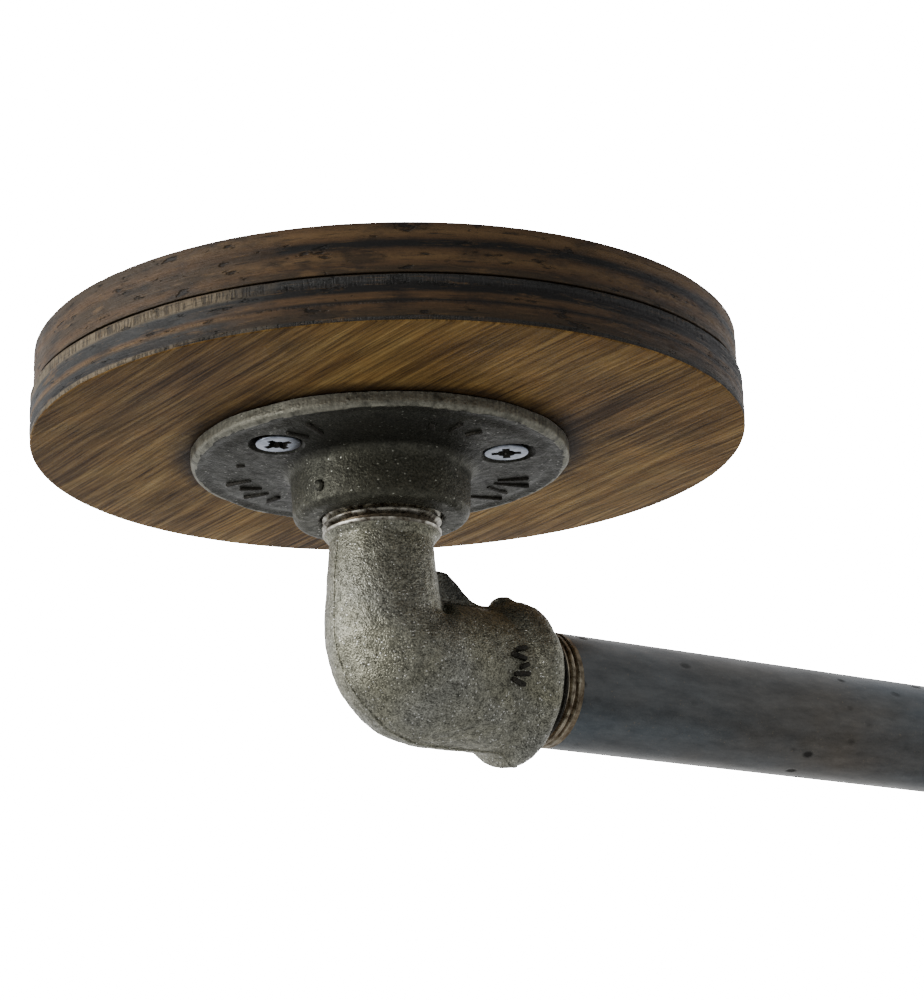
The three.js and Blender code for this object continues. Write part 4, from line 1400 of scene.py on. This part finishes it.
def make_elbow():
    casting = make_elbow_casting()
    ridge = make_parting_ridge(casting)
    bm = combined(casting, ridge, "UNION")
    bm = combined(bm, make_size_marks(), "UNION")
    crest = pipe_radius - 0.05 * MM
    root = pipe_radius - THREAD_DEPTH
    core = spun([(0, neck_top - MM), (root - 1.2 * MM, neck_top - MM),
                 (root - 0.1 * MM, thread_end - 0.5 * MM),
                 (crest - 0.25 * MM, thread_end + 0.5 * MM),
                 (crest, thread_end + 0.9 * MM), (crest, thread_end + 1.25 * MM),
                 (root, thread_end + 1.7 * MM),
                 (root, male_end - 0.8 * MM), (root - 0.8 * MM, male_end),
                 (0, male_end)], "Z", 96)
    machined = lambda f: f.calc_center_median().z > thread_end + 0.1 * MM
    bm = combined(bm, paint_faces(core, 1, machined), "UNION")
    bore = elbow_tube(male_end + MM, elbow_face - MM, lambda d: ELBOW_BORE,
                      lambda d: 0.0, 40, 48)
    bm = combined(bm, paint_faces(bore, 0))
    room = pipe_radius + SOCKET_ROOM
    socket = spun([(0, elbow_face - SOCKET_DEPTH), (room, elbow_face - SOCKET_DEPTH),
                   (room, elbow_face - 1.2 * MM), (room + 1.6 * MM, elbow_face + 0.4 * MM),
                   (0, elbow_face + 0.4 * MM)], "X", 96)
    bm = combined(bm, paint_faces(socket, 1))
    helix = thread(pipe_radius, THREAD_DEPTH, THREAD_PITCH, thread_end + 1.4 * MM,
                   male_end - 0.5 * MM, steps=72, crest=0.15)
    bmesh.ops.rotate(helix, cent=(0, 0, 0), verts=helix.verts,
                     matrix=Matrix.Rotation(math.radians(60), 3, "Z"))
    return merged(bm, paint_faces(helix, 1))


elbow_shape = make_elbow()
print("elbow casting:", len(elbow_shape.faces), "faces")

# %% Both elbows
drop = Matrix.Translation((0, 0, rail_z))
CORNER = Vector((18, 0, 21)) * MM
CORNER_REACH = 9.5 * MM
for side in SIDES:
    place = mount_place[side] @ drop
    elbow = finished(f"{side}_elbow_casting", moved(elbow_shape, place), "rail_frame",
                     f"{side}_street_elbow",
                     [elbow_iron, thread_steel, dirt_and_shade_iron], crease=50)
    # Painted shade in the inside corner of the bend, by the web.
    attribute(elbow, "corner_shade", lambda co, c=place @ CORNER:
              1 - smooth_step((co - c).length, 0.35 * CORNER_REACH, CORNER_REACH))
elbow_shape.free()

# %% [markdown]
# ## Rail pipe
# A plain tube with a taper thread cut on each end. The last turns stay outside the
# elbows and fade out, which is how real pipe thread looks once it is wrenched home.
# The tube is a long profile spun round; the helical groove is then pressed into it by
# a formula, because a groove that fades can't be made from a fixed ridge.

# %% Rail
RAIL_THREAD = 21.7 * MM
THREAD_FADE = 1.7 * MM
GROOVE_DEPTH = 0.9 * MM
MOUTH_SHADE = 4.3 * MM
RAIL_WALL = 2.9 * MM
RAIL_STEPS = 144
STATIONS_PER_TURN = 9


def rail_stations():
    """Places along the pipe: close together in the threads, far apart between them."""
    step = THREAD_PITCH / STATIONS_PER_TURN
    count = int((RAIL_THREAD + THREAD_FADE) / step)
    start = [rail_low.x + 0.4 * MM + step * i for i in range(count)]
    end = [rail_high.x - (x - rail_low.x) for x in reversed(start)]
    gap = end[0] - start[-1]
    return start + [start[-1] + gap * i / 40 for i in range(1, 40)] + end


def make_rail():
    inner = pipe_radius - RAIL_WALL
    profile = [(inner, rail_low.x), (pipe_radius - 1.2 * MM, rail_low.x)]
    profile += [(pipe_radius, x) for x in rail_stations()]
    profile += [(pipe_radius - 1.2 * MM, rail_high.x), (inner, rail_high.x)]
    bm = spun(profile, "X", RAIL_STEPS, ring=True)
    for vert in bm.verts:
        out = Vector((0, vert.co.y, vert.co.z))
        if out.length < pipe_radius - 0.2 * MM:
            continue
        depth = min(vert.co.x - rail_low.x, rail_high.x - vert.co.x)
        left = vert.co.x < (rail_low.x + rail_high.x) / 2
        turn = math.atan2(vert.co.z, vert.co.y) / TURN * (1 if left else -1)
        phase = (depth / THREAD_PITCH + turn) % 1.0
        groove = max(0.0, 1 - abs(phase - 0.5) / 0.30)
        fade = 1 - smooth_step(depth, RAIL_THREAD - THREAD_FADE, RAIL_THREAD)
        vert.co -= out.normalized() * GROOVE_DEPTH * groove * fade
    bmesh.ops.translate(bm, vec=(0, 0, rail_z), verts=bm.verts)
    threaded = lambda f: min(f.calc_center_median().x - rail_low.x,
                             rail_high.x - f.calc_center_median().x) < RAIL_THREAD
    # Painted shade: the thread next to the elbow's face takes the dark iron, for the shadow in
    # the corner between the elbow and the pipe.
    mouth = elbow_face - rail_low.x + MOUTH_SHADE
    painted_shade = lambda f: min(f.calc_center_median().x - rail_low.x,
                           rail_high.x - f.calc_center_median().x) < mouth
    return paint_faces(paint_faces(bm, 1, threaded), 2, painted_shade)


finished("rail_tube", make_rail(), "rail_frame", "rail_pipe",
         [mill_steel, thread_rust, dirt_and_shade_iron])

# %% [markdown]
# ## Sleeves and straps
# Each pulley runs on a turned bronze sleeve with one fixed flange and one pressed-on
# ring. A flat bar bent over the sleeve hangs from it and carries the axle. The bar is a
# flat grid wrapped along its centre line: an arc over the sleeve, then a soft S that
# draws the legs in, with rounded ends. Thickness comes last.

# %% Sleeves
SLEEVE_WALL = 2.5 * MM
STRAP_ROOM = 0.4 * MM


def make_sleeve(side):
    low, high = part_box(f"{side}_rail_sleeve")
    ring_low, ring_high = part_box(f"{side}_sleeve_ring")
    flange = (high.z - low.z) / 2
    bore = pipe_radius + STRAP_ROOM
    outer = bore + SLEEVE_WALL
    width = ring_high.x - ring_low.x
    bm = soften(spun([(bore, low.x), (flange, low.x), (flange, low.x + width),
                      (outer, low.x + width), (outer, high.x), (bore, high.x)],
                     "X", 96, ring=True), 0.35 * MM, 3, 40)
    ring = soften(washer_ring(outer + 0.25 * MM, (ring_high.z - ring_low.z) / 2,
                              ring_low.x, ring_high.x, "X", 96), 0.35 * MM, 3, 40)
    for shape in (bm, ring):
        bmesh.ops.translate(shape, vec=(0, 0, rail_z), verts=shape.verts)
    finished(f"{side}_bronze_sleeve", bm, f"{side}_slider",
             f"{side}_rail_sleeve", [bronze])
    finished(f"{side}_bronze_ring", ring, f"{side}_slider",
             f"{side}_sleeve_ring", [bronze])


for side in SIDES:
    make_sleeve(side)

# %% Straps
STRAP_THICKNESS = 3.0 * MM
STRAP_STRAIGHT = 8 * MM
STRAP_DRAW_IN = 18 * MM
ARC_STEPS = 40
ROWS_ACROSS = 16
axle_drop = hanger_place["left"].translation.z - axle_place["left"].translation.z
strap_low, strap_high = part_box("left_hanger_strap")
strap_width = strap_high.x - strap_low.x
strap_inside = (strap_high.y - strap_low.y) / 2 - STRAP_THICKNESS
spacer_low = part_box("left_front_spacer")[0]
leg_inside = -spacer_low.y + 0.3 * MM
axle_radius = 4.0 * MM


def strap_line():
    """The strap's inner face as (across, height, distance to the nearer leg end)."""
    end = -axle_drop - strap_width / 2
    straight = [end + (strap_width / 2) * (1 - math.cos(math.pi / 2 * i / 10))
                for i in range(11)]
    draw_low = -STRAP_STRAIGHT - STRAP_DRAW_IN
    straight += [straight[-1] + (draw_low - straight[-1]) * i / 6 for i in range(1, 6)]
    leg = [(leg_inside, z) for z in straight]
    for i in range(17):
        z = draw_low + STRAP_DRAW_IN * i / 16
        share = smooth_step(i / 16, 0, 1)
        leg.append((leg_inside + (strap_inside - leg_inside) * share, z))
    top = arc(0, 0, strap_inside, 0, 180, ARC_STEPS)
    other = [(-y, z) for y, z in reversed(leg)]
    return leg + top + other, end


def make_strap():
    line, end = strap_line()
    bm = bmesh.new()
    bmesh.ops.create_grid(bm, x_segments=len(line) - 1, y_segments=ROWS_ACROSS, size=0.5)
    half = strap_width / 2
    for vert in bm.verts:
        y, z = line[round((vert.co.x + 0.5) * (len(line) - 1))]
        near = min(z - end, half)
        reach = math.sqrt(max(half * half - (half - near) ** 2, 0.0))
        vert.co = Vector((2 * vert.co.y * reach, y, z))
    bmesh.ops.remove_doubles(bm, verts=bm.verts, dist=1e-6)
    bmesh.ops.dissolve_degenerate(bm, edges=bm.edges, dist=1e-6)
    bmesh.ops.recalc_face_normals(bm, faces=bm.faces)
    top = max(bm.faces, key=lambda f: f.calc_center_median().z)
    if top.normal.z < 0:
        bmesh.ops.reverse_faces(bm, faces=bm.faces)
    bmesh.ops.solidify(bm, geom=bm.faces, thickness=-STRAP_THICKNESS)
    bmesh.ops.recalc_face_normals(bm, faces=bm.faces)
    hole = rod(axle_radius + 0.3 * MM, -30 * MM, 30 * MM, "Y", 40)
    bmesh.ops.translate(hole, vec=(0, 0, -axle_drop), verts=hole.verts)
    return soften(combined(bm, hole), 0.45 * MM, 3, 50)


strap_shape = make_strap()
print("strap:", len(strap_shape.faces), "faces")
for side in SIDES:
    finished(f"{side}_bent_strap", moved(strap_shape, hanger_place[side]),
             f"{side}_hanger", f"{side}_hanger_strap", [black_bar])
strap_shape.free()

# %% [markdown]
# ## Sheaves
# A cast wheel with a round rope groove, a thin web with five lightening holes, and a
# thick hub on a bronze bush. The groove is polished by the rope, so its faces take a
# second, brighter finish. Everything is softened by one bevel, as castings are.

# %% Sheaves
GROOVE_RADIUS = 5.5 * MM
SHEAVE_GROOVE = 6.5 * MM
SHEAVE_RIM = 4 * MM
SHEAVE_WEB = 2.5 * MM
SHEAVE_HUB = 12 * MM
BUSH_WALL = 2.2 * MM
LIGHTENING_HOLES = 5
LIGHTENING_RADIUS = 3.5 * MM
sheave_low, sheave_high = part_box("left_sheave")
sheave_radius = (sheave_high.z - sheave_low.z) / 2
sheave_half = (sheave_high.y - sheave_low.y) / 2
bush_radius = axle_radius + 0.3 * MM + BUSH_WALL


def make_sheave():
    floor = sheave_radius - SHEAVE_GROOVE
    inside = floor - SHEAVE_RIM
    bore = bush_radius + 0.3 * MM
    turns = [math.radians(-90 + 180 * i / 16) for i in range(17)]
    groove = [(floor + GROOVE_RADIUS * (1 - math.cos(t)), GROOVE_RADIUS * math.sin(t))
              for t in turns]
    bm = spun([
        (bore, -sheave_half), (SHEAVE_HUB, -sheave_half), (SHEAVE_HUB + 0.8 * MM, -SHEAVE_WEB),
        (inside - 0.8 * MM, -SHEAVE_WEB), (inside, -sheave_half + 0.8 * MM),
        (sheave_radius - 1.2 * MM, -sheave_half + 0.4 * MM),
        (sheave_radius, -GROOVE_RADIUS - 0.3 * MM), *groove,
        (sheave_radius, GROOVE_RADIUS + 0.3 * MM),
        (sheave_radius - 1.2 * MM, sheave_half - 0.4 * MM),
        (inside, sheave_half - 0.8 * MM), (inside - 0.8 * MM, SHEAVE_WEB),
        (SHEAVE_HUB + 0.8 * MM, SHEAVE_WEB), (SHEAVE_HUB, sheave_half), (bore, sheave_half),
    ], "Y", 144, ring=True)
    tools = []
    for i in range(LIGHTENING_HOLES):
        angle = TURN * i / LIGHTENING_HOLES + math.pi / 2
        reach = (SHEAVE_HUB + inside) / 2
        tool = rod(LIGHTENING_RADIUS, -sheave_half, sheave_half, "Y", 32)
        place = (reach * math.cos(angle), 0, reach * math.sin(angle))
        bmesh.ops.translate(tool, vec=place, verts=tool.verts)
        tools.append(tool)
    bm = soften(combined(bm, merged(*tools)), 0.5 * MM, 3, 45)
    in_groove = lambda f: (f.calc_center_median().xz.length < sheave_radius - 0.4 * MM
                           and f.calc_center_median().xz.length > floor - 0.1 * MM
                           and abs(f.calc_center_median().y) < GROOVE_RADIUS)
    paint_faces(bm, 1, in_groove)
    iron = lambda co: 1.0 if co.xz.length < floor - 0.5 * MM else 0.2
    return roughen(bm, 2.2 * MM, 0.09 * MM, 21, iron)


def make_bush():
    low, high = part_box("left_sheave_bush")
    half = (high.y - low.y) / 2
    return soften(washer_ring(axle_radius + 0.15 * MM, bush_radius, -half, half, "Y", 64),
                  0.3 * MM, 2, 40)


# %% Both wheels
groove_steel = make_cut_metal(
    "rubbed groove", (0.46, 0.45, 0.43), (0.28, 0.27, 0.25), 0.30, 1000.0, (1, 5, 1), 0.35)
sheave_shape, bush_shape = make_sheave(), make_bush()
for side in SIDES:
    place = axle_place[side]
    finished(f"{side}_grooved_wheel", moved(sheave_shape, place), f"{side}_wheel",
             f"{side}_sheave", [sheave_iron, groove_steel])
    finished(f"{side}_bronze_bush", moved(bush_shape, place), f"{side}_wheel",
             f"{side}_sheave_bush", [bronze])
sheave_shape.free()
bush_shape.free()

# %% [markdown]
# ## Axle hardware
# A hexagon bolt, two plain spacers, a split lock washer and a nut. A real hexagon has
# its corners turned off in a cone, so the head is a six-sided prism kept only where a
# double cone covers it. The lock washer is a section spun short of a full turn while it
# climbs, which leaves the twisted gap that makes it a spring.

# %% Axle hardware
BOLT_PITCH = 1.25 * MM
BOLT_DEPTH = 0.65 * MM
BOLT_THREAD_LENGTH = 14 * MM
CONE_PAST = 0.4 * MM


def hexagon(flats, low, high, chamfer_low=True, chamfer_high=True):
    """A six-sided prism along Y with turned-off corners."""
    corner = flats / math.sqrt(3)
    bm = bmesh.new()
    bmesh.ops.create_cone(bm, cap_ends=True, segments=6, radius1=corner, radius2=corner,
                          depth=high - low)
    turn = Matrix.Rotation(math.pi / 2, 4, "X") @ Matrix.Rotation(math.pi / 6, 4, "Z")
    shift = Matrix.Translation((0, (low + high) / 2, 0))
    bmesh.ops.transform(bm, matrix=shift @ turn, verts=bm.verts)
    wide, narrow = corner * 1.1, flats * 0.48
    slope = math.tan(math.radians(30))
    rise = (wide - narrow) * slope
    past = narrow - CONE_PAST / slope
    cone = [(0, low - CONE_PAST), (past if chamfer_low else wide, low - CONE_PAST),
            (wide, low + rise), (wide, high - rise),
            (past if chamfer_high else wide, high + CONE_PAST), (0, high + CONE_PAST)]
    return soften(combined(bm, spun(cone, "Y", 96), "INTERSECT"), 0.18 * MM, 2, 35)


def make_bolt():
    low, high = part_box("left_axle_bolt")
    nut_low, nut_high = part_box("left_axle_nut")
    washer_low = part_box("left_lock_washer")[0]
    flats = high.x - low.x
    head_high = -washer_low.y
    end = high.y
    head_low = low.y
    plain = end - BOLT_THREAD_LENGTH
    shank = spun([(0, head_high - MM), (axle_radius, head_high - MM), (axle_radius, plain),
                  (axle_radius - BOLT_DEPTH, plain + 0.6 * MM),
                  (axle_radius - BOLT_DEPTH, end - 0.4 * MM),
                  (axle_radius - BOLT_DEPTH - 0.5 * MM, end), (0, end)], "Y", 48)
    ridge = thread(axle_radius, BOLT_DEPTH, BOLT_PITCH, plain, end - 0.3 * MM, "Y", 36, 0.15)
    head = hexagon(flats, head_low, head_high, True, False)
    bolt = merged(head, shank, ridge)
    bore = rod(axle_radius + 0.1 * MM, nut_low.y - MM, nut_high.y + MM, "Y", 40)
    nut = combined(hexagon(flats, nut_low.y, nut_high.y), bore)
    return bolt, nut


# %% Washer and spacers
def make_split_washer():
    low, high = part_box("left_lock_washer")
    inner, outer = axle_radius + 0.3 * MM, (high.z - low.z) / 2
    thick = (high.y - low.y) * 0.78
    climb = (high.y - low.y) - thick
    bm = bmesh.new()
    corners = [(inner, low.y), (outer, low.y), (outer, low.y + thick), (inner, low.y + thick)]
    verts = [bm.verts.new((r, y, 0)) for r, y in corners]
    edges = [bm.edges.new(pair) for pair in zip(verts, verts[1:] + verts[:1])]
    bmesh.ops.spin(bm, geom=verts + edges, cent=(0, 0, 0), axis=(0, 1, 0), steps=60,
                   dvec=(0, climb / 60, 0), angle=TURN * 0.965, use_merge=False,
                   use_duplicate=False)
    bmesh.ops.holes_fill(bm, edges=[e for e in bm.edges if e.is_boundary], sides=8)
    bmesh.ops.recalc_face_normals(bm, faces=bm.faces)
    return soften(bm, 0.15 * MM, 2, 45)


def make_spacer(node):
    low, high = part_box(node)
    bm = washer_ring(axle_radius + 0.3 * MM, (high.z - low.z) / 2, low.y, high.y, "Y", 64)
    return soften(bm, 0.2 * MM, 2, 40)


# %% Hardware on both straps
bolt_shape, nut_shape = make_bolt()
hardware = {
    "hexagon_bolt": ("axle_bolt", bolt_shape),
    "hexagon_nut": ("axle_nut", nut_shape),
    "split_washer": ("lock_washer", make_split_washer()),
    "plain_spacer_front": ("front_spacer", make_spacer("left_front_spacer")),
    "plain_spacer_back": ("back_spacer", make_spacer("left_back_spacer")),
}
for side in SIDES:
    for name, (node, bm) in hardware.items():
        finished(f"{side}_{name}", moved(bm, axle_place[side]), f"{side}_hanger",
                 f"{side}_{node}", [zinc])
for node, bm in hardware.values():
    bm.free()

# %% [markdown]
# ## Floor and light
# The rack hangs in an empty white room. Dark metal shows only what it mirrors, so the
# room matters more than the lamps: it is white all round but dim on the side where the
# viewer stands, which leaves the middle of the pipe dark and its edges bright. One
# large soft lamp adds shape from the left. The floor fades out into the white room.

# %% Floor
FLOOR_DROP = 1.6
FLOOR_REACH = 2.6
FLOOR_SOLID = 1.1

floor_mesh = spun([(0, 0), (FLOOR_REACH, 0)], "Z", 64)
bmesh.ops.translate(floor_mesh, vec=(span / 2, 0, -FLOOR_DROP), verts=floor_mesh.verts)
floor_data = bpy.data.meshes.new("floor")
floor_mesh.to_mesh(floor_data)
floor_mesh.free()
floor = bpy.data.objects.new("floor", floor_data)
pale, pale_tree, pale_shader, pale_place = new_finish("pale floor", Roughness=0.9)
grey = cloud(pale_tree, pale_place, 3.0)
middle = add(pale_tree, "VectorMath", {0: pale_place, 1: (span / 2, 0, -FLOOR_DROP)},
             operation="DISTANCE").outputs["Value"]
wire(pale_tree, pale_shader,
     Base_Color=blend(pale_tree, grey, (0.88, 0.88, 0.88), (0.92, 0.92, 0.92)),
     Alpha=spread(pale_tree, middle, FLOOR_SOLID, FLOOR_REACH, 1.0, 0.0))
floor_data.materials.append(pale)
scene.collection.objects.link(floor)
print("floor", FLOOR_DROP, "m below the ceiling")

# %% Room light
world = bpy.data.worlds.new("white room")
world.use_nodes = True
scene.world = world
room = world.node_tree
room.nodes.clear()
heading = add(room, "TexCoord").outputs["Generated"]
towards = Vector((look.x, look.y, 0)).normalized()
facing = add(room, "VectorMath", {0: heading, 1: towards}, operation="DOT_PRODUCT")
ahead = spread(room, facing.outputs["Value"], -1.0, 1.0)
round_glow = ramp(room, ahead, [
    (0.0, (0.38, 0.38, 0.38)), (0.20, (0.30, 0.30, 0.30)), (0.36, (0.22, 0.22, 0.225)),
    (0.5, (0.48, 0.485, 0.50)),
    (0.72, (0.9, 0.9, 0.92)), (1.0, (1.0, 1.0, 1.0)),
])
rise = spread(room, add(room, "SeparateXYZ", {0: heading}).outputs[2], -1.0, 1.0)
high_glow = ramp(room, rise, [
    (0.0, (0.34, 0.34, 0.34)), (0.28, (0.42, 0.42, 0.42)), (0.40, (1.0, 1.0, 1.0)),
    (0.66, (1.0, 1.0, 1.0)), (0.85, (0.55, 0.55, 0.55)), (1.0, (0.45, 0.45, 0.45)),
])
glow = blend(room, 1.0, round_glow, high_glow, "MULTIPLY")
lit = add(room, "Background", {"Color": glow, "Strength": 1.3})
seen = add(room, "Background", {"Color": (1, 1, 1, 1), "Strength": 25.0})
ray = add(room, "LightPath").outputs["Is Camera Ray"]
mix = add(room, "MixShader", {0: ray, 1: lit.outputs[0], 2: seen.outputs[0]})
add(room, "OutputWorld", {"Surface": mix.outputs[0]})


# %% Left lamp
LAMP_PLACE = Vector((-1.0, 0.25, 0.22))
LAMP_TARGET = Vector((0, 0, -0.05))

lamp_data = bpy.data.lights.new("left lamp", "AREA")
lamp_data.shape = "SQUARE"
lamp_data.size = 0.8
lamp_data.energy = 14
left_lamp = bpy.data.objects.new("left lamp", lamp_data)
left_lamp.location = LAMP_PLACE
left_lamp.rotation_euler = (LAMP_TARGET - LAMP_PLACE).to_track_quat("-Z", "Y").to_euler()
scene.collection.objects.link(left_lamp)
print("lamp of", lamp_data.energy, "W at", tuple(LAMP_PLACE))
